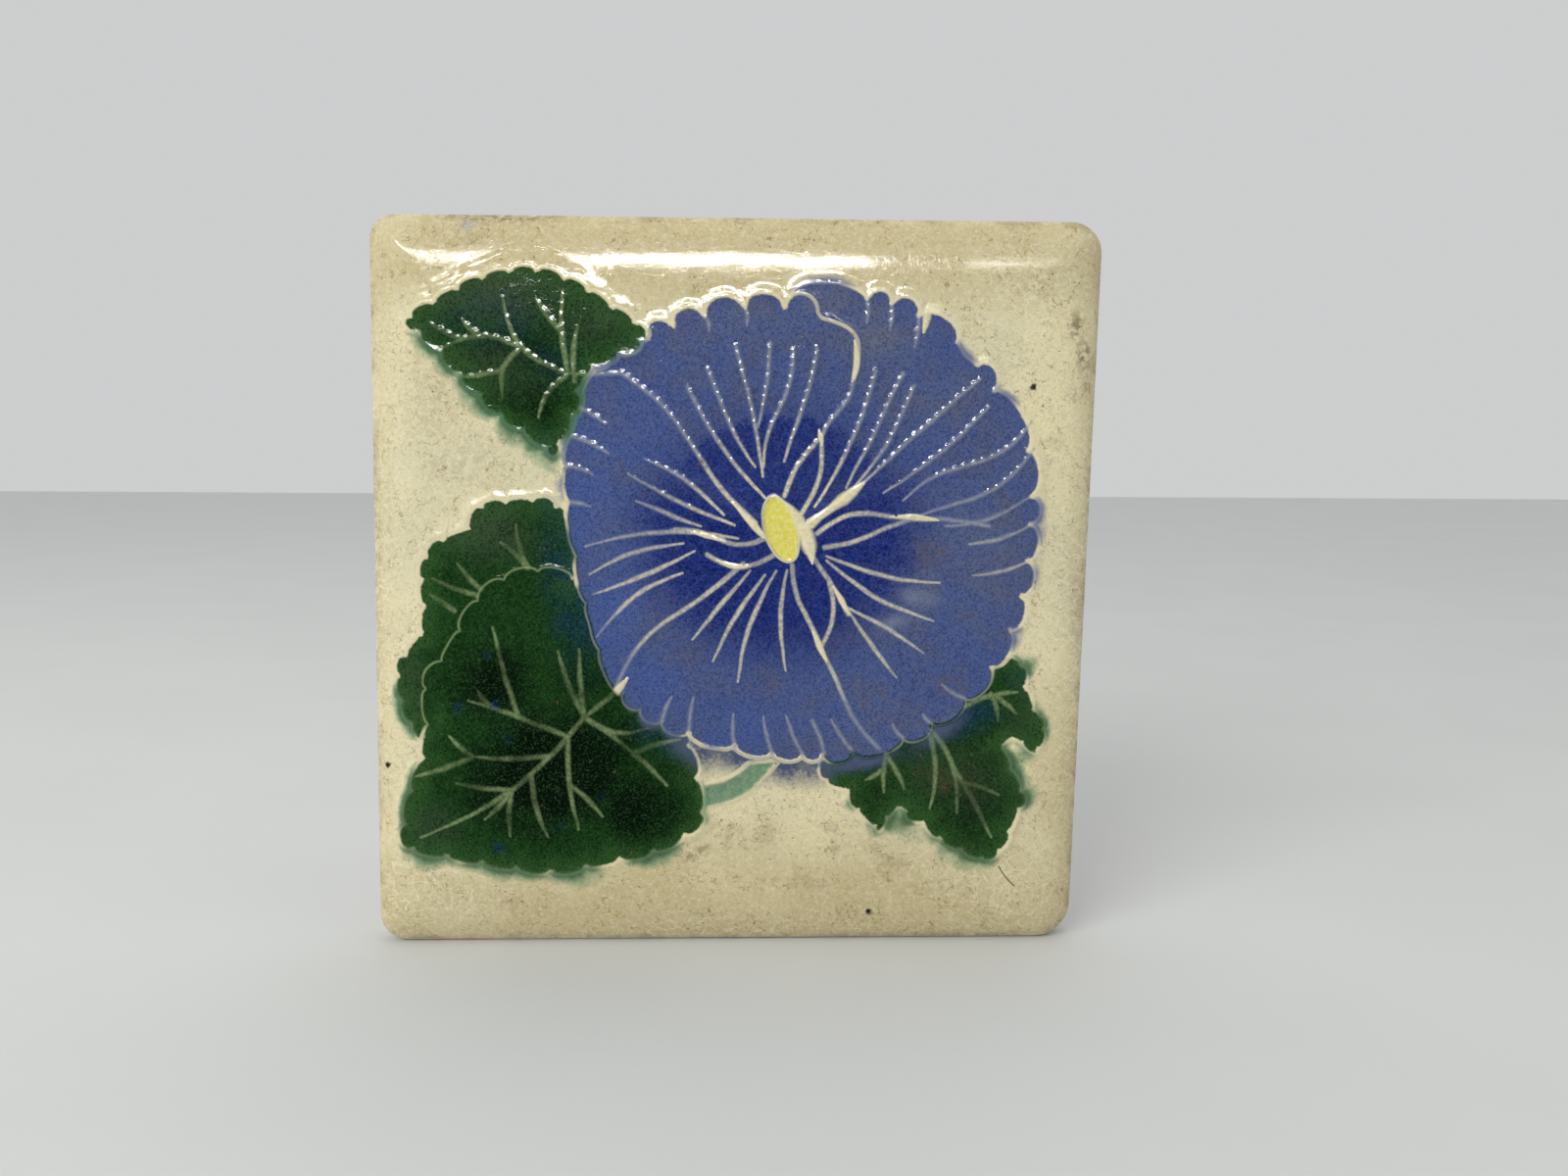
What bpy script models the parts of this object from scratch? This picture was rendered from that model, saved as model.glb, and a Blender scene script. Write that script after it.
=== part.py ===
# A square wall tile of glazed clay with a raised drawing: one large ruffled flower, four leaves and a stem.
# The tile stands upright in its own frame: its flat back lies in the plane Y = 0 and the picture faces -Y.
# X runs to the right and Z up as the picture is seen, and the origin is the middle of the back.

import math

import bmesh
import bpy
import numpy as np
from mathutils import Vector
from mathutils.geometry import delaunay_2d_cdt

MM = 0.001

# Body
TILE_WIDTH = 150.0 * MM
TILE_HEIGHT = 153.0 * MM
TILE_THICKNESS = 10.0 * MM
OUT_OF_SQUARE = 2.4 * MM  # how far the top edge sits to the right of the bottom edge
CORNER_RADII = {
    "top_right": 6.5 * MM,
    "top_left": 5.0 * MM,
    "bottom_left": 6.0 * MM,
    "bottom_right": 7.5 * MM,
}
CORNER_STEPS = 6
LEAST_CORNER = 0.3  # share of its radius that a corner keeps on the inner rings of the roll
EDGE_ROLL_WIDTH = 15.5 * MM  # the face starts to fall away this far in from the edge
EDGE_ROLL_DEPTH = 4.4 * MM
ROLL_TURNS = (62.0, 45.0, 30.0, 16.0, 7.0)  # slopes of the roll where it gets a ring of points
EDGE_STEP = 9.0 * MM  # longest stretch between points along the edge
BACK_ARRIS = 1.0 * MM

# Raised drawing
PAD_HEIGHT = 0.35 * MM  # flower and leaves stand this far above the plain ground
PAD_SLOPE = 1.8 * MM
OUTLINE_HEIGHT = 0.5 * MM  # lines stand this far above the pads
OUTLINE_HALF_WIDTH = 0.8 * MM
VEIN_HEIGHT = 0.4 * MM
VEIN_HALF_WIDTH = 0.7 * MM
TIP_SHARE = 0.5  # width and height that a free vein still has at its tip

# Spacing of the points that carry the face
GROUND_STEP = 9.0 * MM
GROUND_GAP = 4.0 * MM  # the ground's own points stay this far from all others
DRAWING_ROOM = 1.7 * MM  # the drawing stays this far from the tile's edge
FOOT_ROOM = 0.8  # share of a line's half width that its foot keeps from other lines
SNAP = 0.3 * MM  # points nearer than this become one
RING_SNAP = 0.05 * MM
RINGS_JOINED = 3  # this many rings of the roll, from the edge in, keep their edges
CREASE_ANGLE = 17.0

# The drawing is laid out in millimetres on a tile of this size and follows the tile when that changes.
DRAWN_WIDTH = 150.0
DRAWN_HEIGHT = 153.0
DRAWING_SCALE = min(TILE_WIDTH / DRAWN_WIDTH, TILE_HEIGHT / DRAWN_HEIGHT)  # metres to a drawn millimetre

# Flower: a near round of ruffled petals. Angles are in degrees, anticlockwise from the right.
FLOWER_CENTRE = (14.0, 13.0)
FLOWER_REACH = 49.3
FLOWER_SQUARENESS = 2.0  # how much further the petals reach towards the tile's corners
LOBE_STEPS = 5

# Each petal starts at an angle and runs clockwise, with one entry of lobes for the width of each ruffle.
# The values of lift raise or lower its edge, evenly from its start to its end. Its slits are the lengths of
# the creases at the notches between its ruffles, and lean turns them away from the centre.
PETALS = (
    {"start": 129.0, "lobes": (6.5, 8.0, 10.0, 10.0, 8.5), "depth": 3.3, "lift": (1.4, 0.3, 0.1, -0.8, -1.8),
     "slits": (0.0, 3.0, 3.4, 0.0), "lean": 0.8},
    {"start": 93.0, "lobes": (18.5, 6.0, 7.0, 11.0), "depth": 2.6, "lift": (0.9, 1.2, 1.9, 1.2),
     "slits": (4.6, 4.8, 6.0), "lean": -3.0},
    {"start": 50.5, "lobes": (7.0,), "depth": 0.2, "lift": (-1.2, -2.4, -1.6), "slits": (), "lean": 0.0},
    {"start": 43.5, "lobes": (7.5,), "depth": 2.6, "lift": (0.8, 0.6, 0.3), "slits": (), "lean": 0.0},
    {"start": 36.0, "lobes": (16.5, 11.0, 7.0, 9.0, 9.0, 9.0, 10.0, 10.0, 10.0, 8.0, 13.0, 7.5),
     "depth": 2.3, "lift": (0.0, 1.9, 0.9, 0.7, 0.6, 0.6, 0.6, 0.7, 0.9),
     "slits": (0.0,) * 7 + (5.4, 2.6, 3.6, 7.8), "lean": -4.0},
    {"start": -84.0, "lobes": (5.0, 8.0, 9.5, 12.0, 7.0, 6.0, 5.5), "depth": 1.8, "lift": (0.2, -0.6, 0.8),
     "slits": (8.2, 7.4, 6.6, 2.4, 0.0, 0.0), "lean": -5.0},
    {"start": -137.0, "lobes": (12.0, 12.0, 12.0, 13.4, 8.6, 7.1, 6.5, 10.9, 11.5), "depth": 0.9,
     "lift": (0.8, -2.4, -1.8, 0.7, 1.8, 2.4), "slits": (0.0,) * 3 + (4.8, 5.6, 8.2, 6.0, 0.0), "lean": 0.8},
)
SHOULDER = {"start": (17.3, 56.2), "end": (24.6, 44.0), "bow": 4.6}  # the front petal's curled edge

# The eye is an upright oval that leans, with a pale throat beside it.
EYE_CENTRE = (9.8, 13.0)
EYE_HALF_SIZE = (3.3, 7.0)
EYE_LEAN = 17.0
EYE_STEPS = 20
THROAT = {"start": (11.4, 18.6), "end": (15.6, 7.6), "bow": 2.6}
THROAT_HALF_WIDTH = 2.2 * MM

# Fans of veins round the eye. The values go evenly from the first vein to the last.
FANS = (
    {"count": 6, "tips": (123.4, 114.8, 104.1, 93.6, 86.1, 79.0),
     "reach": (34.7, 35.8, 38.2, 38.1, 36.6, 37.7),
     "roots": (116.9, 112.5, 109.0, 102.4, 105.5, 87.0), "root": (7.3, 14.0, 11.5, 21.5, 13.5, 14.0),
     "bow": (1.2, 0.8, -0.7, -0.4, -0.1, -0.5), "sway": (0.0, 0.2, 0.0, 0.0, 0.8, 0.3)},
    {"count": 3, "tips": (59.2, 52.3, 47.5), "reach": (37.8, 40.4, 40.0), "roots": (34.0, 33.0, 30.0),
     "root": (8.5, 16.0, 17.6), "bow": (-1.3, -0.2, -1.2), "sway": (0.0,)},
    {"count": 4, "tips": (37.3, 30.8, 23.5, 18.0), "reach": (51.2, 49.7, 56.4, 54.9),
     "roots": (27.0, 20.0, 13.8, 6.0), "root": (16.6, 22.6, 26.0, 28.9), "bow": (0.3, -1.0, -0.9, -2.9),
     "sway": (0.0, 0.0, 1.5, 0.5)},
    {"count": 3, "tips": (7.7, 0.9, -6.8), "reach": (52.2, 51.7, 52.5), "roots": (1.5, -4.1, -13.2),
     "root": (34.2, 39.3, 41.3), "bow": (-1.5, -0.8, -0.6), "sway": (0.0,)},
    {"count": 2, "tips": (-18.3, -30.5), "reach": (35.0, 37.4), "roots": (-29.0, -33.0),
     "root": (11.0, 11.5), "bow": (-1.3, -1.7), "sway": (0.0,)},
    {"count": 2, "tips": (-40.5, -51.5), "reach": (39.7, 39.6), "roots": (-49.4, -49.4),
     "root": (21.0, 21.0), "bow": (0.5, -0.3), "sway": (0.0,)},
    {"count": 4, "tips": (-87.7, -105.4, -117.1, -128.5), "reach": (29.5, 33.2, 30.9, 29.4),
     "roots": (-80.7, -95.4, -108.6, -126.5), "root": (8.6, 8.6, 10.0, 10.6), "bow": (-1.2, -1.5, -0.7, 0.0),
     "sway": (0.0,)},
    {"count": 4, "tips": (-149.4, -160.8, -166.6, -174.8), "reach": (44.2, 41.1, 40.7, 40.5),
     "roots": (-155.9, -165.5, -171.5, -168.0), "root": (22.2, 18.3, 20.1, 9.0),
     "bow": (-2.0, 0.5, -1.5, -2.2), "sway": (0.0,)},
    {"count": 3, "tips": (169.0, 160.1, 152.5), "reach": (30.4, 33.3, 31.4), "roots": (178.0, 175.0, 166.0),
     "root": (16.5, 9.5, 12.1), "bow": (0.0, 0.6, -1.2), "sway": (0.0,)},
)

# Longer lines that part the petals.
PETAL_LINES = (
    {"start": (4.6, 14.4), "end": (-22.5, 44.6), "bow": -0.9, "sway": 1.1},
    {"start": (18.0, 32.0), "end": (24.6, 44.0), "bow": -0.6, "sway": 0.4},
    {"start": (10.6, 20.0), "end": (18.0, 32.0), "bow": 1.0, "sway": 0.0},
    {"start": (14.2, 16.5), "end": (18.0, 32.0), "bow": -1.6, "sway": 0.0},
    {"start": (17.5, 12.2), "end": (37.0, 15.2), "bow": 2.8, "sway": 0.4},
    {"start": (19.0, 9.4), "end": (37.0, 15.2), "bow": -0.4, "sway": -0.3},
    {"start": (37.0, 15.2), "end": (53.0, 14.0), "bow": 0.6, "sway": 0.0},
    {"start": (12.2, 5.6), "end": (19.2, -13.4), "bow": -0.9, "sway": -0.4},
    {"start": (19.2, -13.4), "end": (31.0, -33.2), "bow": -1.2, "sway": 0.4},
    {"start": (20.0, 2.0), "end": (18.8, -11.0), "bow": 1.4, "sway": 0.0},
    {"start": (16.6, 7.2), "end": (24.0, -4.6), "bow": 0.3, "sway": 0.0},
    {"start": (2.0, 6.0), "end": (-24.8, -21.6), "bow": -2.9, "sway": 1.2},
    {"start": (6.6, 11.2), "end": (-12.0, 13.0), "bow": 1.2, "sway": 0.9},
    {"start": (8.4, 7.6), "end": (-5.4, 7.8), "bow": 2.5, "sway": 0.0},
)

# Leaves, front to back. Corners go round the outline, and rounded teeth of the given pitch ride along it.
# A vein has its share of the way along the midrib, its heading, its length and its bow. A fork has the
# number of the vein it leaves, its share of the way along that, its turn away from it and its length.
TOOTH_STEPS = 4
TOOTH_BASE = 0.6  # share of a tooth's depth that lies inside the smooth outline
RIB_STEPS = 8
VEIN_STEPS = 4
TWIG_BOW = 0.3  # forks and slits bend this much
LEAVES = (
    {
        "name": "upper_left",
        "corners": ((-18, 50.5), (-18.6, 54.5), (-26, 59.6), (-33, 63.8), (-41, 65.8), (-51, 64), (-59, 60),
                    (-66.3, 55), (-60, 48.6), (-54, 41.8), (-48, 36), (-41, 31), (-36.5, 27.8),
                    (-34.2, 32), (-31.4, 38), (-30.4, 43.5), (-25, 46.8)),
        "pitch": 5.6, "depth": 1.1,
        "stalk": ((-22.5, 44.8), (-33.5, 44.6), 0.3),
        "midrib": ((-33.5, 44.5), (-46.5, 59.5), 3.6),
        "veins": ((-0.1, 86, 11.0, 0.5), (0.0, 93, 16.5, 0.6), (0.5, 181, 16.0, -2.4), (0.5, 248, 11.0, -1.8),
                  (0.0, 236, 10.8, -1.3)),
        "forks": ((1, 0.5, 34, 8.5), (2, 0.75, -28, 7.0), (2, 0.5, -40, 5.0), (3, 0.5, -58, 8.5)),
        "over_flower": True,
    },
    {
        "name": "lower_left_front",
        "corners": ((-33, 3.4), (-42, 4.8), (-50, 1.6), (-55, -4), (-59, -12), (-64, -18), (-64.3, -28),
                    (-66, -36), (-69.3, -46), (-69.8, -54.5), (-60, -57), (-50, -59), (-38, -60.4),
                    (-27, -58.6), (-15, -55.4), (-6.4, -49.5), (-6.6, -42), (-8.2, -34), (-14, -20),
                    (-24, -2)),
        "pitch": 7.4, "depth": 1.2,
        "stalk": ((-25.0, -21.6), (-31.0, -26.5), 0.0),
        "midrib": ((-31.0, -26.5), (-66.0, -52.5), 3.3),
        "veins": ((0.0, 94, 14.5, 0.3), (0.04, 111, 15.0, 0.5), (0.08, 159, 22.0, -0.4),
                  (0.25, 180, 16.0, 0.4), (0.5, 172, 11.5, 0.3), (0.55, 228, 8.5, 0.4),
                  (0.48, 268, 10.0, -0.4), (0.33, 283, 14.0, -0.8), (0.08, 276, 20.0, -0.8),
                  (0.05, 322, 12.5, 0.4), (0.0, 350, 13.5, -2.0)),
        "forks": ((2, 0.4, -54, 19.5), (2, 0.75, -30, 5.0), (3, 1.0, -42, 6.5), (3, 1.0, 20, 13.0),
                  (8, 0.6, 38, 9.8), (9, 1.0, 54, 10.5), (9, 1.0, -6, 10.0)),
        "over_flower": False,
    },
    {
        "name": "lower_left_back",
        "corners": ((-36, 18.2), (-44, 19.2), (-52, 18), (-55.5, 12.6), (-61, 10.6), (-64.5, 5), (-64.4, -5),
                    (-66, -10.5), (-70, -15), (-70, -22), (-67.5, -28.5), (-63, -31), (-48, -20), (-30, 6)),
        "pitch": 5.4, "depth": 1.0,
        "stalk": None,
        "midrib": ((-42.0, 4.6), (-52.0, -1.0), 1.2),
        "veins": ((0.0, 106, 9.5, 0.6), (0.05, 137, 8.0, -0.4), (0.9, 134, 9.0, 0.4), (0.95, 160, 10.5, 0.4),
                  (1.55, 146, 6.0, 0.0)),
        "forks": (),
        "over_flower": False,
    },
    {
        "name": "lower_right",
        "corners": ((56.5, -13.5), (61.4, -15.6), (62.4, -20.8), (64.6, -25.4), (66.6, -29.4), (64.8, -34.4),
                    (61.6, -33), (59.4, -31), (57.8, -33.6), (60.4, -39.4), (62.6, -44.4), (60.4, -48.8),
                    (58.6, -54.6), (54.6, -58), (48, -55.4), (43.4, -53), (40.4, -50), (37.4, -48.6),
                    (35.4, -46), (33.4, -48.4), (31, -51.4), (28.4, -48.8), (25, -46), (22.8, -42),
                    (18.6, -40.2), (18.2, -36.6), (22, -30), (36, -26), (50, -18)),
        "pitch": 5.0, "depth": 0.8,
        "stalk": None,
        "midrib": ((33.0, -32.0), (54.5, -21.5), 0.0),
        "veins": ((0.03, 262, 9.5, -0.5), (0.1, 300, 8.5, 0.4), (0.45, 272, 14.5, -1.2),
                  (0.62, 279, 14.5, -1.0), (0.72, 297, 17.5, -1.0), (0.92, 12, 7.0, 0.3),
                  (0.92, 303, 5.5, 0.2)),
        "forks": ((0, 0.4, -46, 4.3), (4, 0.4, 22, 8.0), (6, 0.9, 88, 4.0)),
        "over_flower": False,
    },
)

STEM_LINES = (
    {"start": (-5.6, -45.8), "end": (9.4, -35.8), "bow": -2.4, "sway": 0.0},
    {"start": (-7.0, -41.2), "end": (3.4, -36.6), "bow": -1.2, "sway": 0.0},
)

# Half width and height of each kind of raised line
SECTIONS = {
    "outline": (OUTLINE_HALF_WIDTH, OUTLINE_HEIGHT),
    "vein": (VEIN_HALF_WIDTH, VEIN_HEIGHT),
    "throat": (THROAT_HALF_WIDTH, OUTLINE_HEIGHT),
}

# The glaze, as a linear colour
GLAZE_COLOUR = (0.60, 0.54, 0.36, 1.0)
GLAZE_ROUGHNESS = 0.15


def along(start, end, bow=0.0, sway=0.0, steps=6):
    # A line from start to end that swings out by bow at its middle and by sway the other way on its second
    # half.
    start, end = np.array(start, float), np.array(end, float)
    run = end - start
    side = np.array([-run[1], run[0]]) / max(np.hypot(*run), 1e-9)
    t = np.linspace(0.0, 1.0, steps + 1)
    swing = bow * np.sin(np.pi * t) + sway * np.sin(2 * np.pi * t)
    return start + t[:, None] * run + swing[:, None] * side


def from_point(point, angle, distance):
    return np.array(
        [
            point[0] + distance * math.cos(math.radians(angle)),
            point[1] + distance * math.sin(math.radians(angle)),
        ]
    )


def spread(values, share):
    # The value at a share of the way through a row of them.
    return float(np.interp(share, np.linspace(0, 1, len(values)), values))


def petal_notches(petal):
    angles = [petal["start"]]
    for width in petal["lobes"]:
        angles.append(angles[-1] - width)
    return angles


def petal_reach(petal, angle):
    # How far the petal reaches from the flower's centre, not counting the dip at each notch.
    share = (petal["start"] - angle) / sum(petal["lobes"])
    square = FLOWER_SQUARENESS * math.sin(2 * math.radians(angle)) ** 2
    return FLOWER_REACH + square + spread(petal["lift"], share)


def petal_outline(petal):
    # The ruffled edge of one petal.
    points = []
    notches = petal_notches(petal)
    for first, width in zip(notches, petal["lobes"]):
        for k in range(LOBE_STEPS):
            u = k / LOBE_STEPS
            angle = first - width * u
            dip = petal["depth"] * (1 - math.sqrt(1 - (2 * u - 1) ** 2))
            points.append(from_point(FLOWER_CENTRE, angle, petal_reach(petal, angle) - dip))
    last = notches[-1]
    points.append(from_point(FLOWER_CENTRE, last, petal_reach(petal, last) - petal["depth"]))
    return np.array(points)


def smooth_loop(corners, steps=6):
    # A closed smooth curve through the corners.
    c = np.array(corners, float)
    points = []
    for k in range(len(c)):
        a, b, d, e = (c[(k + n) % len(c)] for n in (-1, 0, 1, 2))
        for t in np.arange(steps) / steps:
            points.append(
                0.5
                * (
                    2 * b
                    + (d - a) * t
                    + (2 * a - 5 * b + 4 * d - e) * t**2
                    + (3 * b - a - 3 * d + e) * t**3
                )
            )
    return np.array(points)


def even_points(loop, count):
    # Points at equal distances round a closed line.
    path = np.vstack([loop, loop[:1]])
    lengths = np.r_[0, np.cumsum(np.hypot(*np.diff(path, axis=0).T))]
    at = np.arange(count) / count * lengths[-1]
    return np.c_[np.interp(at, lengths, path[:, 0]), np.interp(at, lengths, path[:, 1])]


def crenated(corners, pitch, depth, steps=TOOTH_STEPS):
    # The smooth outline through the corners, with a row of rounded teeth.
    smooth = smooth_loop(corners)
    closed = np.vstack([smooth, smooth[:1]])
    length = np.hypot(*np.diff(closed, axis=0).T).sum()
    teeth = max(3, round(length / pitch))
    points = even_points(smooth, teeth * steps)
    run = np.roll(points, -1, axis=0) - np.roll(points, 1, axis=0)
    run /= np.maximum(np.hypot(run[:, 0], run[:, 1]), 1e-9)[:, None]
    area = np.sum(
        smooth[:, 0] * np.roll(smooth[:, 1], -1)
        - np.roll(smooth[:, 0], -1) * smooth[:, 1]
    )
    outward = np.c_[run[:, 1], -run[:, 0]] * (1 if area > 0 else -1)
    phase = (np.arange(len(points)) % steps) / steps
    rise = depth * (np.sqrt(1 - (2 * phase - 1) ** 2) - TOOTH_BASE)
    return points + outward * rise[:, None]


def inside(points, polygon):
    # Whether each point lies inside a closed polygon.
    x, z = points[:, 0][:, None], points[:, 1][:, None]
    x1, z1 = polygon[:, 0], polygon[:, 1]
    x2, z2 = np.roll(x1, -1), np.roll(z1, -1)
    spans = (z1 > z) != (z2 > z)
    rise = np.where(z2 == z1, 1e-12, z2 - z1)
    crossings = spans & (x < (x2 - x1) * (z - z1) / rise + x1)
    return crossings.sum(axis=1) % 2 == 1


def hidden(point, fronts):
    return any(inside(np.array([point]), front)[0] for front in fronts)


def edge_crossing(shown, covered, fronts):
    # Where a step from a shown point to a covered one meets the figure in front.
    for _ in range(12):
        middle = (shown + covered) / 2
        if hidden(middle, fronts):
            covered = middle
        else:
            shown = middle
    return (shown + covered) / 2


def visible_runs(line, fronts):
    # The stretches of a line that no figure in front of it covers.
    covered = [hidden(p, fronts) for p in line]
    runs, current = [], []
    for k, point in enumerate(line):
        if k and covered[k] != covered[k - 1]:
            pair = (
                (line[k - 1], point) if covered[k] else (point, line[k - 1])
            )
            current.append(edge_crossing(*pair, fronts))
            if covered[k]:
                runs.append(np.array(current))
                current = []
        if not covered[k]:
            current.append(point)
    if len(current) > 1:
        runs.append(np.array(current))
    return [run for run in runs if len(run) > 1]


def ridge(points, kind, start_share=1.0, end_share=1.0):
    # A raised line: its points with the share of full width and height that it has at each.
    shares = np.ones(len(points))
    lengths = np.r_[0, np.cumsum(np.hypot(*np.diff(points, axis=0).T))]
    taper = max(lengths[-1] * 0.4, 1e-9)
    shares = np.minimum(shares, start_share + (1 - start_share) * lengths / taper)
    shares = np.minimum(
        shares, end_share + (1 - end_share) * (lengths[-1] - lengths) / taper
    )
    return {"points": points, "kind": kind, "shares": np.clip(shares, 0, 1)}


def fan_veins(fan):
    # Veins that spread from the eye, from the first tip angle to the last.
    lines = []
    for k in range(fan["count"]):
        share = k / max(fan["count"] - 1, 1)
        root = from_point(EYE_CENTRE, spread(fan["roots"], share), spread(fan["root"], share))
        tip = from_point(EYE_CENTRE, spread(fan["tips"], share), spread(fan["reach"], share))
        lines.append(along(root, tip, spread(fan["bow"], share), spread(fan["sway"], share), steps=7))
    return lines


def leaf_veins(leaf):
    # The midrib, the side veins that leave it, and the forks that leave those.
    start, end, bow = leaf["midrib"]
    rib = along(start, end, bow, steps=RIB_STEPS)
    run = rib[-1] - rib[0]
    lines = [rib]
    sides = []
    for share, heading, length, vein_bow in leaf["veins"]:
        if 0 <= share <= 1:
            root = rib[round(share * RIB_STEPS)]
        else:
            root = rib[0] + share * run
        tip = from_point(root, heading, length)
        sides.append(along(root, tip, vein_bow, steps=VEIN_STEPS))
    for number, share, turn, length in leaf["forks"]:
        vein = sides[number]
        root = vein[round(share * VEIN_STEPS)]
        step = vein[-1] - vein[0]
        heading = math.degrees(math.atan2(step[1], step[0])) + turn
        sides.append(along(root, from_point(root, heading, length), TWIG_BOW, steps=3))
    return lines + sides


def eye_outline():
    lean = math.radians(EYE_LEAN)
    points = []
    for k in range(EYE_STEPS):
        turn = 2 * math.pi * k / EYE_STEPS
        u = EYE_HALF_SIZE[0] * math.cos(turn)
        v = EYE_HALF_SIZE[1] * math.sin(turn)
        points.append(
            (
                EYE_CENTRE[0] + u * math.cos(lean) - v * math.sin(lean),
                EYE_CENTRE[1] + u * math.sin(lean) + v * math.cos(lean),
            )
        )
    return np.array(points)


def draw():
    # All raised lines of the picture, and the closed outlines of its raised pads.
    shoulder = along(SHOULDER["start"], SHOULDER["end"], SHOULDER["bow"], steps=7)
    petal_edges = [petal_outline(petal) for petal in PETALS]
    petal_edges[0] = np.vstack([petal_edges[0], shoulder[1:]])
    petal_shapes = [np.vstack([edge, [EYE_CENTRE]]) for edge in petal_edges]

    leaf_shapes = {
        leaf["name"]: crenated(leaf["corners"], leaf["pitch"], leaf["depth"])
        for leaf in LEAVES
    }
    over = [leaf_shapes[leaf["name"]] for leaf in LEAVES if leaf["over_flower"]]
    lines = []

    for k, petal in enumerate(PETALS):
        in_front = over + (petal_shapes[:1] if k else [])
        for run in visible_runs(petal_edges[k], in_front):
            lines.append(ridge(run, "outline"))
        for angle, length in zip(petal_notches(petal)[1:-1], petal["slits"]):
            if not length:
                continue
            notch = petal_reach(petal, angle) - petal["depth"]
            outer_end = from_point(FLOWER_CENTRE, angle, notch)
            inner_end = from_point(FLOWER_CENTRE, angle + petal["lean"], notch - length)
            for run in visible_runs(along(outer_end, inner_end, TWIG_BOW, steps=3), in_front):
                lines.append(ridge(run, "vein", end_share=TIP_SHARE))

    eye = eye_outline()
    lines.append(ridge(np.vstack([eye, eye[:1]]), "outline"))
    throat = along(THROAT["start"], THROAT["end"], THROAT["bow"], steps=6)
    lines.append(ridge(throat, "throat", 0.6, 0.6))
    for fan in FANS:
        for line in fan_veins(fan):
            lines.append(ridge(line, "vein", end_share=TIP_SHARE))
    for line in PETAL_LINES:
        lines.append(
            ridge(along(line["start"], line["end"], line["bow"], line["sway"]), "vein")
        )

    in_front = list(petal_shapes)
    for leaf in LEAVES:
        shape = leaf_shapes[leaf["name"]]
        closed = np.vstack([shape, shape[:1]])
        fronts = [] if leaf["over_flower"] else in_front
        for run in visible_runs(closed, fronts):
            lines.append(ridge(run, "outline"))
        stalk = [along(*leaf["stalk"], steps=3)] if leaf["stalk"] else []
        for line in stalk + leaf_veins(leaf):
            for run in visible_runs(line, fronts):
                lines.append(ridge(run, "vein", end_share=TIP_SHARE))
        in_front.append(shape)
    for line in STEM_LINES:
        for run in visible_runs(
            along(line["start"], line["end"], line["bow"], line["sway"]), in_front
        ):
            lines.append(ridge(run, "outline"))

    pads = petal_shapes + list(leaf_shapes.values())
    for line in lines:
        line["points"] = line["points"] * DRAWING_SCALE
    return lines, [pad * DRAWING_SCALE for pad in pads]


def tile_outline(inset=0.0):
    # The tile's edge, moved in by inset, anticlockwise as the picture is seen.
    half_width, half_height = TILE_WIDTH / 2, TILE_HEIGHT / 2
    lean = OUT_OF_SQUARE / TILE_HEIGHT
    corners = (
        ("top_right", 1, 1, 0.0),
        ("top_left", -1, 1, 90.0),
        ("bottom_left", -1, -1, 180.0),
        ("bottom_right", 1, -1, 270.0),
    )
    points = []
    for name, right, up, first in corners:
        radius = max(CORNER_RADII[name] - inset, LEAST_CORNER * CORNER_RADII[name])
        centre_x = right * (half_width - inset - radius)
        centre_z = up * (half_height - inset - radius)
        for k in range(CORNER_STEPS + 1):
            turn = math.radians(first + 90.0 * k / CORNER_STEPS)
            points.append(
                (centre_x + radius * math.cos(turn), centre_z + radius * math.sin(turn))
            )
    closed = points + points[:1]
    filled = []
    for (x1, z1), (x2, z2) in zip(closed, closed[1:]):
        pieces = max(1, math.ceil(math.hypot(x2 - x1, z2 - z1) / EDGE_STEP))
        for k in range(pieces):
            filled.append((x1 + (x2 - x1) * k / pieces, z1 + (z2 - z1) * k / pieces))
    return np.array([(x + lean * z, z) for x, z in filled])


def distance_to(points, starts, ends):
    # Distance from each point to each segment, and how far along the segment it falls.
    run = ends - starts
    squared = np.maximum((run**2).sum(axis=1), 1e-18)
    offset = points[:, None, :] - starts[None]
    t = np.clip((offset * run[None]).sum(axis=2) / squared, 0, 1)
    gap = offset - t[:, :, None] * run[None]
    return np.sqrt((gap**2).sum(axis=2)), t


def roll_inset(turn):
    # How far in from the edge, as a share of the roll's width, its slope is the given angle.
    steepness = math.tan(math.radians(turn)) * EDGE_ROLL_WIDTH / EDGE_ROLL_DEPTH
    return 1 - steepness / math.sqrt(1 + steepness**2)


def roll_drop(gap):
    # How far the face has fallen back at each distance from the edge: a quarter of an ellipse.
    share = np.clip(1 - gap / EDGE_ROLL_WIDTH, 0, 1)
    return EDGE_ROLL_DEPTH * (1 - np.sqrt(1 - share**2))


def pad_rise(points, pads):
    # Full height on a pad, falling to nothing across its slope.
    rise = np.zeros(len(points))
    for pad in pads:
        gap, _ = distance_to(points, pad, np.roll(pad, -1, axis=0))
        share = np.clip(1 - gap.min(axis=1) / PAD_SLOPE, 0, 1)
        share[inside(points, pad)] = 1.0
        rise = np.maximum(rise, PAD_HEIGHT * share)
    return rise


def line_rise(points, lines):
    # Raised lines are highest on their centre line and fall straight to their feet.
    rise = np.zeros(len(points))
    for line in lines:
        half_width, height = SECTIONS[line["kind"]]
        gap, t = distance_to(points, line["points"][:-1], line["points"][1:])
        shares = line["shares"][:-1] * (1 - t) + line["shares"][1:] * t
        rise = np.maximum(rise, (height * (shares - gap / half_width)).max(axis=1))
    return rise


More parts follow.
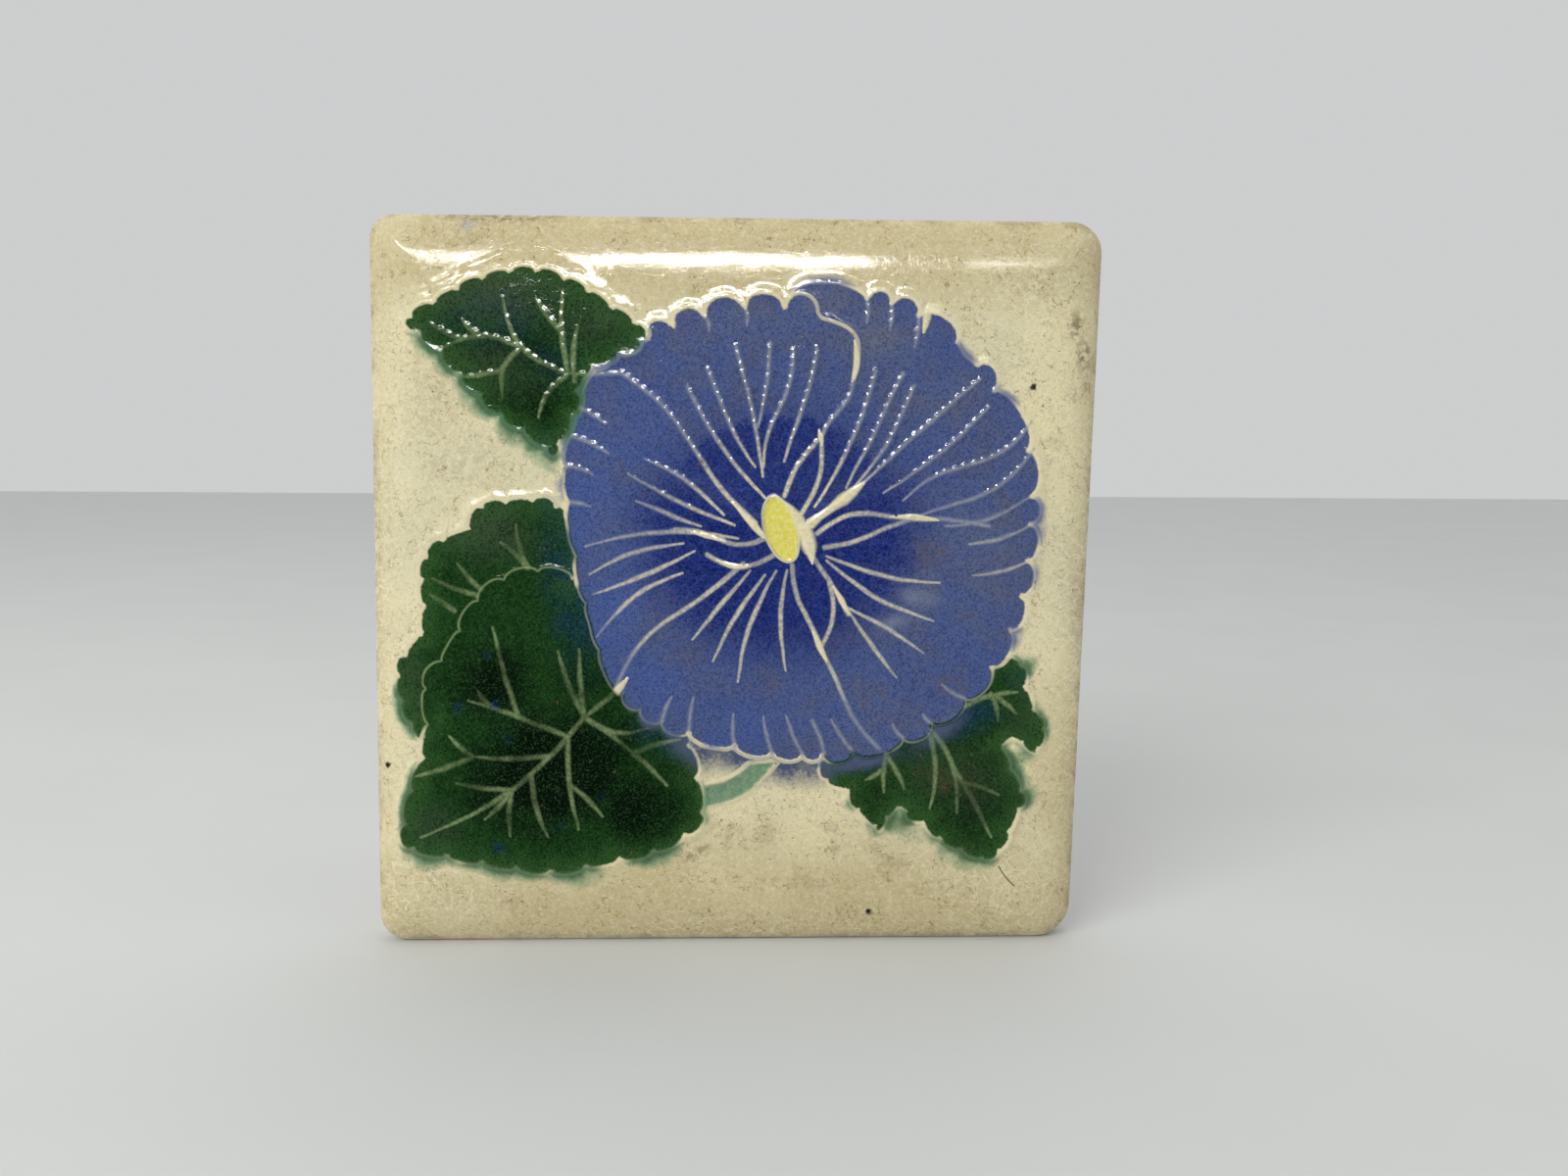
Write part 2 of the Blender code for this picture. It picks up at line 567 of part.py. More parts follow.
class Plan:
    # The points and fixed edges of the front, seen flat.
    def __init__(self, cell):
        self.cell = cell
        self.cells = {}
        self.points = []
        self.edges = set()

    def place(self, point):
        return tuple(math.floor(c / self.cell) for c in point)

    def add(self, point, gap):
        # The number of a new point, or of the nearest one within the gap.
        i, j = self.place(point)
        reach = math.ceil(gap / self.cell)
        best, found = gap, None
        for di in range(-reach, reach + 1):
            for dj in range(-reach, reach + 1):
                for n in self.cells.get((i + di, j + dj), ()):
                    distance = math.dist(point, self.points[n])
                    if distance < best:
                        best, found = distance, n
        if found is None:
            found = len(self.points)
            self.cells.setdefault((i, j), []).append(found)
            self.points.append((float(point[0]), float(point[1])))
        return found

    def join(self, a, b):
        if None not in (a, b) and a != b:
            self.edges.add((min(a, b), max(a, b)))

    def run(self, points, gap, keep=None, closed=False):
        # Adds a line of points and joins the ones that follow each other.
        keep = np.ones(len(points), bool) if keep is None else keep
        first = last = None
        for point, kept in zip(points, keep):
            number = self.add(point, gap) if kept else None
            self.join(last, number)
            first = number if first is None else first
            last = number
        if closed:
            self.join(last, first)


def gap_to_loop(points, loop):
    # Distance from each point inside a loop to the loop, and nothing outside it.
    gap, _ = distance_to(points, loop, np.roll(loop, -1, axis=0))
    return np.where(inside(points, loop), gap.min(axis=1), 0.0)


def add_feet(plan, lines, rim):
    # Each line's feet run beside it, and each free end has a toe. Those that would land on another line are
    # left out.
    starts = np.vstack([line["points"][:-1] for line in lines])
    ends = np.vstack([line["points"][1:] for line in lines])

    def fits(points, reach):
        gap = distance_to(points, starts, ends)[0].min(axis=1)
        return (gap > FOOT_ROOM * reach) & (gap_to_loop(points, rim) > DRAWING_ROOM)

    for line in lines:
        points = line["points"]
        run = np.gradient(points, axis=0)
        run /= np.maximum(np.hypot(run[:, 0], run[:, 1]), 1e-12)[:, None]
        side = np.c_[-run[:, 1], run[:, 0]]
        foot = SECTIONS[line["kind"]][0] * line["shares"]
        reaches = [foot]
        if line["kind"] == "outline":
            reaches.append(np.full(len(points), PAD_SLOPE))
        for reach in reaches:
            for sign in (-1, 1):
                feet = points + sign * side * reach[:, None]
                plan.run(feet, SNAP, fits(feet, reach))
        ways = run[[0, -1]] * [[-1], [1]]
        toes = points[[0, -1]] + ways * foot[[0, -1]][:, None]
        for toe in toes[fits(toes, foot[[0, -1]])]:
            plan.add(toe, SNAP)


def face_plan(lines, rim):
    plan = Plan(1.0 * MM)
    plan.run(rim, 0.0, closed=True)
    rings = [tile_outline(EDGE_ROLL_WIDTH * roll_inset(turn)) for turn in ROLL_TURNS]
    for ring in rings[:RINGS_JOINED]:
        plan.run(ring, RING_SNAP, closed=True)
    for line in lines:
        points = line["points"]
        plan.run(points, SNAP, gap_to_loop(points, rim) > DRAWING_ROOM)
    add_feet(plan, lines, rim)
    for ring in rings[RINGS_JOINED:]:
        for point in ring:
            plan.add(point, PAD_SLOPE)
    across = math.ceil(TILE_WIDTH / GROUND_STEP)
    up = math.ceil(TILE_HEIGHT / GROUND_STEP)
    for i in range(1, across):
        for j in range(1, up):
            point = ((i / across - 0.5) * TILE_WIDTH, (j / up - 0.5) * TILE_HEIGHT)
            if gap_to_loop(np.array([point]), rim)[0] > GROUND_STEP:
                plan.add(point, GROUND_GAP)
    return plan.points, sorted(plan.edges)


def tile_mesh():
    lines, pads = draw()
    rim = tile_outline()
    points, edges = face_plan(lines, rim)
    flat, _, faces, *_ = delaunay_2d_cdt(
        [Vector(p) for p in points], edges, [], 1, 0.01 * MM, False
    )
    flat = np.array([tuple(p) for p in flat])
    gap, _ = distance_to(flat, rim, np.roll(rim, -1, axis=0))
    gap = gap.min(axis=1)
    rise = pad_rise(flat, pads) + line_rise(flat, lines)
    rise *= np.clip(gap / PAD_SLOPE, 0, 1)
    depth = -(TILE_THICKNESS - roll_drop(gap) + rise)

    bm = bmesh.new()
    verts = [bm.verts.new((x, y, z)) for (x, z), y in zip(flat, depth)]
    for face in faces:
        bm.faces.new([verts[n] for n in face])
    open_edges = [edge for edge in bm.edges if edge.is_boundary]
    arris = Vector((1 - 2 * BACK_ARRIS / TILE_WIDTH, 1, 1 - 2 * BACK_ARRIS / TILE_HEIGHT))
    for level, scale in ((-BACK_ARRIS, Vector((1, 1, 1))), (0.0, arris)):
        made = bmesh.ops.extrude_edge_only(bm, edges=open_edges)["geom"]
        for vert in (v for v in made if isinstance(v, bmesh.types.BMVert)):
            vert.co = Vector((vert.co.x * scale.x, level, vert.co.z * scale.z))
        edges_made = (e for e in made if isinstance(e, bmesh.types.BMEdge))
        open_edges = [edge for edge in edges_made if edge.is_boundary]
    bmesh.ops.contextual_create(bm, geom=open_edges)
    bmesh.ops.recalc_face_normals(bm, faces=bm.faces)
    mesh = bpy.data.meshes.new("tile")
    bm.to_mesh(mesh)
    bm.free()
    mesh.shade_smooth()
    mesh.set_sharp_from_angle(angle=math.radians(CREASE_ANGLE))
    return mesh


def glazed_clay():
    material = bpy.data.materials.new("glazed_clay")
    material.use_nodes = True
    shader = material.node_tree.nodes["Principled BSDF"]
    shader.inputs["Base Color"].default_value = GLAZE_COLOUR
    shader.inputs["Roughness"].default_value = GLAZE_ROUGHNESS
    shader.inputs["Metallic"].default_value = 0.0
    return material


def main():
    for obj in list(bpy.data.objects):
        bpy.data.objects.remove(obj)
    mesh = tile_mesh()
    mesh.materials.append(glazed_clay())
    tile = bpy.data.objects.new("tile", mesh)
    bpy.context.scene.collection.objects.link(tile)


main()
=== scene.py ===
import math

import bpy
import numpy as np
from mathutils import Matrix, Vector, kdtree
from mathutils.geometry import delaunay_2d_cdt


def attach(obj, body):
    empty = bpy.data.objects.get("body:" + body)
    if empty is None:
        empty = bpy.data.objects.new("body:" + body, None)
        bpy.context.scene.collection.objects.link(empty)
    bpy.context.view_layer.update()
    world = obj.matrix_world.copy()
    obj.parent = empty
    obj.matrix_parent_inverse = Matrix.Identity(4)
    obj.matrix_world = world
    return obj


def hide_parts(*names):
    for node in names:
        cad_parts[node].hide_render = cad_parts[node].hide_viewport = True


# A glazed wall tile with a raised flower: its clay body, the drawing pressed on its face, and the glazes.
# Lengths are in millimetres, x to the right and z up as the picture is seen, until they become a mesh.
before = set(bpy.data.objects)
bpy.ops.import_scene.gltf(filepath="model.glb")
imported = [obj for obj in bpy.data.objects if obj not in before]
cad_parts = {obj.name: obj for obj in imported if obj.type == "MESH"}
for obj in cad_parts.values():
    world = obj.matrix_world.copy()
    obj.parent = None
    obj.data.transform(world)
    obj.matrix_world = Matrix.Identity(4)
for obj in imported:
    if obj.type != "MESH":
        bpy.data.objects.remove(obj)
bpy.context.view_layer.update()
mm = 0.001

tile = {
    "width": 150.0,
    "height": 153.0,
    "thickness": 10.0,
    "outOfSquare": 2.4,  # the top edge sits this far to the right of the bottom edge
    "cornerRadii": (6.5, 5.0, 6.0, 7.5),  # top right, top left, bottom left, bottom right
    "leastCorner": 0.3,  # share of its radius that a corner keeps on the inner rings
    "cornerSteps": 12,
    "rollWidth": 15.5,
    "rollDepth": 4.4,
    # slopes of the roll's rings of points in degrees, from the rim inwards
    "rollTurns": (86, 80, 73, 66, 58, 50, 42, 35, 28.5, 22.5, 17.5, 13.5, 10, 7, 4.5, 2.5),
    "rimStep": 1.05,
    "sideFalls": (0.6, 1.3, 2.0),  # rows of points on the glazed sides, below the roll
    "glazeStop": 2.3,  # the glaze on the sides ends about this far from the back
    "glazeStopWave": 0.7,
    "glazeLip": 0.1,
    "lipRows": ((0.4, 0.6), (1.0, 0.25), (0.6, 0.06)),  # shares of the lip, and heights above its stop
    "clayStep": 0.3,
    "backArris": 1.0,
    "arrisRows": ((0.3, 0.55), (0.65, 0.22), (1.0, 0.0)),  # shares of the arris, inwards and up
    "backStep": 2.6,
    "backInset": 1.5,  # width of the back's outermost strip of triangles
}

drawing = {
    "flowerCentre": (14.0, 13.0),
    "flowerReach": 49.3,
    "flowerSquareness": 2.0,  # how much further the petals reach towards the tile's corners
    "lobeSteps": 16,
    "shoulder": ((17.3, 56.2), (24.6, 44.0), 4.6),  # the front petal's curled edge
    "eyeCentre": (9.8, 13.0),
    "eyeHalfSize": (3.3, 7.0),
    "eyeLean": 17.0,
    "toothSteps": 14,
    "toothBase": 0.6,
    "twigBow": 0.3,
    "tipShare": 0.5,  # width and height that a free vein still has at its tip
    "wobble": 0.07,  # how far the hand strayed
    "veinReach": 1.05,  # half width at the foot
    "outlineReach": 1.2,
}

# Each petal starts at an angle and runs clockwise, with one lobe for the width of each ruffle. Lift raises
# its edge from start to end, and slits are the creases at the notches between its ruffles.
drawing["petals"] = (
    {"start": 129.0, "lobes": (6.5, 8.0, 10.0, 10.0, 8.5), "depth": 3.3, "lift": (1.4, 0.3, 0.1, -0.8, -1.8),
     "slits": (0.0, 3.0, 3.4, 0.0), "lean": 0.8},
    {"start": 93.0, "lobes": (18.5, 6.0, 7.0, 11.0), "depth": 2.6, "lift": (0.9, 1.2, 1.9, 1.2),
     "slits": (4.6, 4.8, 6.0), "lean": -3.0},
    {"start": 50.5, "lobes": (7.0,), "depth": 0.2, "lift": (-1.2, -2.4, -1.6), "slits": (), "lean": 0.0},
    {"start": 43.5, "lobes": (7.5,), "depth": 2.6, "lift": (0.8, 0.6, 0.3), "slits": (), "lean": 0.0},
    {"start": 36.0, "lobes": (16.5, 11.0, 7.0, 9.0, 9.0, 9.0, 10.0, 10.0, 10.0, 8.0, 13.0, 7.5),
     "depth": 2.3, "lift": (0.0, 1.9, 0.9, 0.7, 0.6, 0.6, 0.6, 0.7, 0.9),
     "slits": (0.0,) * 7 + (5.4, 2.6, 3.6, 7.8), "lean": -4.0},
    {"start": -84.0, "lobes": (5.0, 8.0, 9.5, 12.0, 7.0, 6.0, 5.5), "depth": 1.8, "lift": (0.2, -0.6, 0.8),
     "slits": (8.2, 7.4, 6.6, 7.0, 5.2, 0.0), "lean": -5.0},
    {"start": -137.0, "lobes": (12.0, 12.0, 12.0, 13.4, 8.6, 7.1, 6.5, 10.9, 11.5), "depth": 0.9,
     "lift": (0.8, -2.4, -1.8, 0.7, 1.8, 2.4), "slits": (0.0,) * 3 + (4.8, 5.6, 8.2, 6.0, 0.0), "lean": 0.8},
)

# Fans of veins round the eye: the angle and reach of each vein's tip and root, its bow and its sway. Tip is
# the share of its size that a vein keeps at its end.
drawing["fans"] = (
    {"tips": (123.4, 114.8, 104.1, 93.6, 86.1, 79.0), "reach": (34.7, 35.8, 38.2, 38.1, 36.6, 37.7),
     "roots": (116.9, 112.5, 109.0, 102.4, 105.5, 87.0), "root": (7.3, 14.0, 11.5, 21.5, 13.5, 14.0),
     "bow": (1.2, 0.8, -0.7, -0.4, -0.1, -0.5), "sway": (0.0, 0.2, 0.0, 0.0, 0.8, 0.3), "tip": 1.0},
    {"tips": (59.2, 52.3, 47.5), "reach": (37.8, 40.4, 40.0), "roots": (34.0, 33.0, 30.0),
     "root": (8.5, 16.0, 17.6), "bow": (-1.3, -0.2, -1.2), "tip": 1.0},
    {"tips": (37.3, 30.8, 23.5, 18.0), "reach": (51.2, 49.7, 56.4, 54.9), "roots": (27.0, 20.0, 13.8, 6.0),
     "root": (16.6, 22.6, 26.0, 28.9), "bow": (0.3, -1.0, -0.9, -2.9), "sway": (0.0, 0.0, 1.5, 0.5),
     "tip": 0.8},
    {"tips": (7.7, 0.9, -6.8), "reach": (52.2, 51.7, 52.5), "roots": (1.5, -4.1, -13.2),
     "root": (34.2, 39.3, 41.3), "bow": (-1.5, -0.8, -0.6)},
    {"tips": (-18.3, -30.5), "reach": (35.0, 37.4), "roots": (-29.0, -33.0), "root": (11.0, 11.5),
     "bow": (-1.3, -1.7)},
    {"tips": (-40.5, -51.5), "reach": (39.7, 39.6), "roots": (-49.4, -49.4), "root": (21.0, 21.0),
     "bow": (0.5, -0.3)},
    {"tips": (-87.7, -105.4, -117.1, -128.5), "reach": (29.5, 33.2, 30.9, 29.4),
     "roots": (-80.7, -95.4, -108.6, -126.5), "root": (8.6, 8.6, 10.0, 10.6), "bow": (-1.2, -1.5, -0.7, 0.0)},
    {"tips": (-149.4, -160.8, -166.6, -174.8), "reach": (44.2, 41.1, 40.7, 40.5),
     "roots": (-155.9, -165.5, -171.5, -168.0), "root": (22.2, 18.3, 20.1, 9.0),
     "bow": (-2.0, 0.5, -1.5, -2.2)},
    {"tips": (169.0, 160.1, 152.5), "reach": (30.4, 33.3, 31.4), "roots": (178.0, 175.0, 166.0),
     "root": (16.5, 9.5, 12.1), "bow": (0.0, 0.6, -1.2)},
)

# Longer lines that part the petals: start, end, bow and sway.
drawing["petalLines"] = (
    ((4.6, 14.4), (-22.5, 44.6), -0.9, 1.1),
    ((18.0, 32.0), (24.6, 44.0), -0.6, 0.4),
    ((10.6, 20.0), (18.0, 32.0), 1.0, 0.0),
    ((14.2, 16.5), (18.0, 32.0), -1.6, 0.0),
    ((17.5, 12.2), (37.0, 15.2), 2.8, 0.4),
    ((19.0, 9.4), (37.0, 15.2), -0.4, -0.3),
    ((37.0, 15.2), (53.0, 14.0), 0.6, 0.0),
    ((12.2, 5.6), (19.2, -13.4), -0.9, -0.4),
    ((19.2, -13.4), (31.0, -33.2), -1.2, 0.4),
    ((20.0, 2.0), (18.8, -11.0), 1.4, 0.0),
    ((16.6, 7.2), (24.0, -4.6), 0.3, 0.0),
    ((2.0, 6.0), (-24.8, -21.6), -2.9, 1.2),
    ((6.6, 11.2), (-12.0, 13.0), 1.2, 0.9),
    ((8.4, 7.6), (-5.4, 7.8), 2.5, 0.0),
    ((16.6, -27.2), (19.4, -34.4), 0.3, 0.0),
)

# Places where veins meet and the raised line swells: start, end, bow and the half widths along it.
drawing["knobs"] = (
    ((16.0, 14.2), (27.0, 22.6), 0.0, (1.5, 1.0, 1.1, 1.7, 1.3, 0.4)),
    ((8.9, 19.8), (16.4, 6.0), 1.7, (0.4, 1.2, 1.9, 2.3, 2.0, 0.3)),
    ((24.7, 51.6), (24.2, 43.4), 0.7, (0.3, 0.7, 0.9, 0.8, 0.3)),
    ((32.4, 15.9), (42.6, 15.0), 0.2, (0.2, 0.6, 0.95, 0.7, 0.2)),
    ((16.4, -7.4), (19.8, -14.8), 0.0, (0.2, 0.6, 0.9, 0.7, 0.2)),
    ((-25.6, -22.6), (-21.8, -18.2), 0.0, (0.4, 1.2, 0.9, 0.3)),
    ((17.6, 33.4), (18.2, 30.4), 0.0, (0.3, 0.8, 0.3)),
    ((20.8, 1.2), (24.3, -4.6), 0.0, (0.2, 0.55, 0.9, 0.6, 0.2)),
    ((-1.0, 19.6), (6.4, 11.6), 0.0, (0.2, 0.4, 0.75, 1.0, 0.6)),
    ((-3.6, 6.8), (3.4, 5.5), -0.6, (0.2, 0.5, 0.8, 0.6, 0.2)),
    ((-9.4, 12.8), (-1.6, 10.5), 0.0, (0.2, 0.55, 0.8, 0.55, 0.2)),
    ((39.4, 58.0), (38.8, 53.4), 0.2, (1.2, 1.0, 0.4)),
)

# A soft ridge where the glaze ran thick beside the upper leaf: start, end and bow.
drawing["run"] = ((-67.0, 59.2), (-47.0, 68.4), -0.2)
drawing["runReach"] = 1.5
drawing["runShare"] = 0.65

# Leaves, front to back: corners round the outline with teeth of the given pitch on it, and veins as their
# share of the way along the midrib, heading, length and bow. Forks leave a vein: its number, share, turn
# and length. Slope is the width of the bank outside the outline, and swell widens the outline itself.
drawing["leaves"] = (
    {
        "name": "upperLeft",
        "corners": ((-18, 50.5), (-18.6, 54.5), (-26, 59.6), (-33, 63.8), (-41, 65.8), (-51, 64), (-59, 60),
                    (-66.3, 55), (-60, 48.6), (-54, 41.8), (-48, 36), (-41, 31), (-36.5, 27.8),
                    (-34.2, 32), (-31.4, 38), (-30.4, 43.5), (-25, 46.8)),
        "pitch": 5.6, "depth": 1.1,
        "stalk": ((-22.5, 44.8), (-33.5, 44.6), 0.3),
        "midrib": ((-33.5, 44.5), (-46.5, 59.5), 3.6),
        "veins": ((-0.1, 86, 11.0, 0.5), (0.0, 93, 16.5, 0.6), (0.5, 181, 16.0, -2.4), (0.5, 248, 11.0, -1.8),
                  (0.0, 236, 10.8, -1.3)),
        "forks": ((1, 0.5, 34, 8.5), (2, 0.75, -28, 7.0), (2, 0.5, -40, 5.0), (3, 0.5, -58, 8.5)),
        "overFlower": True,
        "slope": 3.15,
        "swell": 1.4,
    },
    {
        "name": "lowerLeftFront",
        "corners": ((-33, 3.4), (-42, 4.8), (-50, 1.6), (-55, -4), (-59, -12), (-64, -18), (-64.3, -28),
                    (-66, -36), (-69.3, -46), (-69.8, -54.5), (-60, -57), (-50, -59), (-38, -60.4),
                    (-27, -58.6), (-15, -55.4), (-6.4, -49.5), (-6.6, -42), (-8.2, -34), (-14, -20),
                    (-24, -2)),
        "pitch": 7.4, "depth": 1.2,
        "stalk": ((-25.0, -21.6), (-31.0, -26.5), 0.0),
        "midrib": ((-31.0, -26.5), (-66.0, -52.5), 3.3),
        "veins": ((0.0, 94, 14.5, 0.3), (0.04, 111, 15.0, 0.5), (0.08, 159, 22.0, -0.4),
                  (0.25, 180, 16.0, 0.4), (0.5, 172, 11.5, 0.3), (0.55, 228, 8.5, 0.4),
                  (0.48, 268, 10.0, -0.4), (0.33, 283, 14.0, -0.8), (0.08, 276, 20.0, -0.8),
                  (0.05, 322, 12.5, 0.4), (0.0, 350, 13.5, -2.0)),
        "forks": ((2, 0.4, -54, 19.5), (2, 0.75, -30, 5.0), (3, 1.0, -42, 6.5), (3, 1.0, 20, 13.0),
                  (8, 0.6, 38, 9.8), (9, 1.0, 54, 10.5), (9, 1.0, -6, 10.0)),
        "slope": 2.0,
        "swell": 1.0,
    },
    {
        "name": "lowerLeftBack",
        "corners": ((-36, 18.2), (-44, 19.2), (-52, 18), (-55.5, 12.6), (-61, 10.6), (-64.5, 5), (-64.4, -5),
                    (-66, -10.5), (-70, -15), (-70, -22), (-67.5, -28.5), (-63, -31), (-48, -20), (-30, 6)),
        "pitch": 5.4, "depth": 1.0,
        "midrib": ((-42.0, 4.6), (-52.0, -1.0), 1.2),
        "veins": ((0.0, 106, 9.5, 0.6), (0.05, 137, 8.0, -0.4), (0.9, 134, 9.0, 0.4), (0.95, 160, 10.5, 0.4),
                  (1.55, 146, 6.0, 0.0)),
        "slope": 2.2,
        "swell": 1.0,
    },
    {
        "name": "lowerRight",
        "corners": ((56.5, -13.5), (61.4, -15.6), (62.4, -20.8), (64.6, -25.4), (66.6, -29.4), (64.8, -34.4),
                    (61.6, -33), (59.4, -31), (57.8, -33.6), (60.4, -39.4), (62.6, -44.4), (60.4, -48.8),
                    (58.6, -54.6), (54.6, -58), (48, -55.4), (43.4, -53), (40.4, -50), (37.4, -48.6),
                    (35.4, -46), (33.4, -48.4), (31, -51.4), (28.4, -48.8), (25.4, -46), (23.8, -42.4),
                    (19.6, -40.6), (18.4, -37), (20.6, -31.5), (36, -26), (50, -18)),
        "pitch": 5.0, "depth": 0.8,
        "midrib": ((33.0, -32.0), (54.5, -21.5), 0.0),
        "veins": ((0.0, 265, 10.9, -0.4), (0.38, 273, 18.2, 1.4), (0.38, 289, 20.4, 2.4),
                  (0.88, 11, 8.4, 0.3), (1.0, 286, 6.0, 0.3), (1.0, 322, 7.0, 0.3)),
        "forks": ((0, 0.25, 34, 8.4), (0, 0.5, -52, 4.8), (2, 0.5, 10, 18.0), (8, 0.25, 42, 8.0)),
        "slope": 1.6,
        "swell": 1.0,
    },
)
drawing["flowerSlope"] = 2.1
drawing["ribParts"] = 8  # veins leave a midrib at eighths of its length
drawing["veinParts"] = 4  # and forks leave a vein at quarters
drawing["rootShare"] = 0.55  # of a petal vein's width where it starts
drawing["leafVeinShare"] = 0.75  # of a petal vein's height
drawing["eyeSwell"] = 0.7
drawing["stemSwell"] = 0.8

# The stem is a strap between two outlines: start, end and bow.
drawing["stemLines"] = (((-5.6, -45.8), (9.4, -35.8), -2.4), ((-7.0, -41.2), (3.4, -36.6), -1.2))


def along(start, end, bow=0.0, sway=0.0, steps=32):
    # A line that swings out by bow at its middle and by sway the other way on its second half.
    start, end = np.array(start, float), np.array(end, float)
    run = end - start
    side = np.array([-run[1], run[0]]) / max(np.hypot(*run), 1e-9)
    t = np.linspace(0.0, 1.0, steps + 1)
    swing = bow * np.sin(np.pi * t) + sway * np.sin(2 * np.pi * t)
    return start + t[:, None] * run + swing[:, None] * side


def fromPoint(point, angle, distance):
    turn = math.radians(angle)
    return np.array([point[0] + distance * math.cos(turn), point[1] + distance * math.sin(turn)])


def spread(values, share):
    # The value at a share of the way through a row of them.
    return float(np.interp(share, np.linspace(0, 1, len(values)), values))


def petalNotches(petal):
    return [petal["start"] - sum(petal["lobes"][:k]) for k in range(len(petal["lobes"]) + 1)]


def petalReach(petal, angle):
    share = (petal["start"] - angle) / sum(petal["lobes"])
    square = drawing["flowerSquareness"] * math.sin(2 * math.radians(angle)) ** 2
    return drawing["flowerReach"] + square + spread(petal["lift"], share)


def petalEdge(petal):
    # The angle and reach of each point on a petal's ruffled edge.
    angles, reaches = [], []
    steps = drawing["lobeSteps"]
    for first, width in zip(petalNotches(petal), petal["lobes"]):
        for k in range(steps):
            u = 0.5 - 0.5 * math.cos(math.pi * k / steps)  # closer steps at the notches
            angles.append(first - width * u)
            dip = petal["depth"] * (1 - math.sqrt(1 - (2 * u - 1) ** 2))
            reaches.append(petalReach(petal, angles[-1]) - dip)
    angles.append(petalNotches(petal)[-1])
    reaches.append(petalReach(petal, angles[-1]) - petal["depth"])
    return np.array(angles), np.array(reaches)


def polarPoints(centre, angles, reaches):
    turn = np.radians(angles)
    return np.c_[centre[0] + reaches * np.cos(turn), centre[1] + reaches * np.sin(turn)]


def smoothLoop(corners, steps=6):
    # A closed smooth curve through the corners.
    c = np.array(corners, float)
    a, b, d, e = (np.roll(c, shift, axis=0)[:, None] for shift in (1, 0, -1, -2))
    t = (np.arange(steps) / steps)[None, :, None]
    curve = 0.5 * (2 * b + (d - a) * t + (2 * a - 5 * b + 4 * d - e) * t**2 + (3 * b - a - 3 * d + e) * t**3)
    return curve.reshape(-1, 2)


def pathLengths(points):
    return np.r_[0, np.cumsum(np.hypot(*np.diff(points, axis=0).T))]


def evenRun(points, spacing):
    # The same line with points at even spacing, and the unit run at each.
    lengths = pathLengths(points)
    count = max(2, round(lengths[-1] / spacing) + 1)
    at = np.linspace(0, lengths[-1], count)
    even = np.c_[np.interp(at, lengths, points[:, 0]), np.interp(at, lengths, points[:, 1])]
    run = np.gradient(even, axis=0)
    return even, run / np.maximum(np.hypot(run[:, 0], run[:, 1]), 1e-9)[:, None], at


def crenated(leaf):
    # The smooth outline through a leaf's corners, with a row of rounded teeth.
    steps = drawing["toothSteps"]
    smooth = smoothLoop(leaf["corners"])
    closed = np.vstack([smooth, smooth[:1]])
    lengths = pathLengths(closed)
    teeth = max(3, round(lengths[-1] / leaf["pitch"]))
    at = np.arange(teeth * steps) / (teeth * steps) * lengths[-1]
    points = np.c_[np.interp(at, lengths, closed[:, 0]), np.interp(at, lengths, closed[:, 1])]
    run = np.roll(points, -3, axis=0) - np.roll(points, 3, axis=0)
    run /= np.maximum(np.hypot(run[:, 0], run[:, 1]), 1e-9)[:, None]
    ahead = np.roll(smooth, -1, axis=0)
    area = np.sum(smooth[:, 0] * ahead[:, 1] - ahead[:, 0] * smooth[:, 1])
    outward = np.c_[run[:, 1], -run[:, 0]] * np.sign(area)
    phase = (np.arange(len(points)) % steps) / steps
    rise = leaf["depth"] * (np.sqrt(1 - (2 * phase - 1) ** 2) - drawing["toothBase"])
    return points + outward * rise[:, None]


def inside(points, loop, chunk=4000):
    # Whether each point lies inside a closed line.
    x1, z1 = loop[:, 0], loop[:, 1]
    x2, z2 = np.roll(x1, -1), np.roll(z1, -1)
    rise = np.where(z2 == z1, 1e-12, z2 - z1)
    found = np.zeros(len(points), bool)
    low, high = loop.min(axis=0), loop.max(axis=0)
    near = np.flatnonzero(((points > low) & (points < high)).all(axis=1))
    for k in range(0, len(near), chunk):
        part = near[k:k + chunk]
        x, z = points[part, 0][:, None], points[part, 1][:, None]
        crossings = ((z1 > z) != (z2 > z)) & (x < (x2 - x1) * (z - z1) / rise + x1)
        found[part] = crossings.sum(axis=1) % 2 == 1
    return found


def hidden(points, fronts):
    covered = np.zeros(len(points), bool)
    for front in fronts:
        covered |= inside(points, front)
    return covered


def visibleRuns(line, fronts):
    # The stretches of a line that no figure in front of it covers, cut where they meet it.
    covered = hidden(line, fronts)
    runs, current = [], []
    for k, point in enumerate(line):
        if k and covered[k] != covered[k - 1]:
            shown, under = (line[k - 1], point) if covered[k] else (point, line[k - 1])
            for _ in range(12):
                middle = (shown + under) / 2
                if hidden(middle[None], fronts)[0]:
                    under = middle
                else:
                    shown = middle
            current.append(shown)
            if covered[k]:
                runs.append(np.array(current))
                current = []
        if not covered[k]:
            current.append(point)
    if len(current) > 1:
        runs.append(np.array(current))
    return [run for run in runs if len(run) > 1]


def handWobble(points):
    # The slight unevenness of lines cut by hand. It goes by place alone, so figures keep their joins.
    x, z = points[:, 0], points[:, 1]
    sideways = np.sin(0.43 * x + 0.25 * z) + 0.5 * np.sin(1.1 * z - 0.5 * x + 1.3)
    upward = np.sin(0.37 * z - 0.31 * x + 2.1) + 0.5 * np.sin(1.0 * x + 0.6 * z)
    return points + drawing["wobble"] * np.c_[sideways, upward]


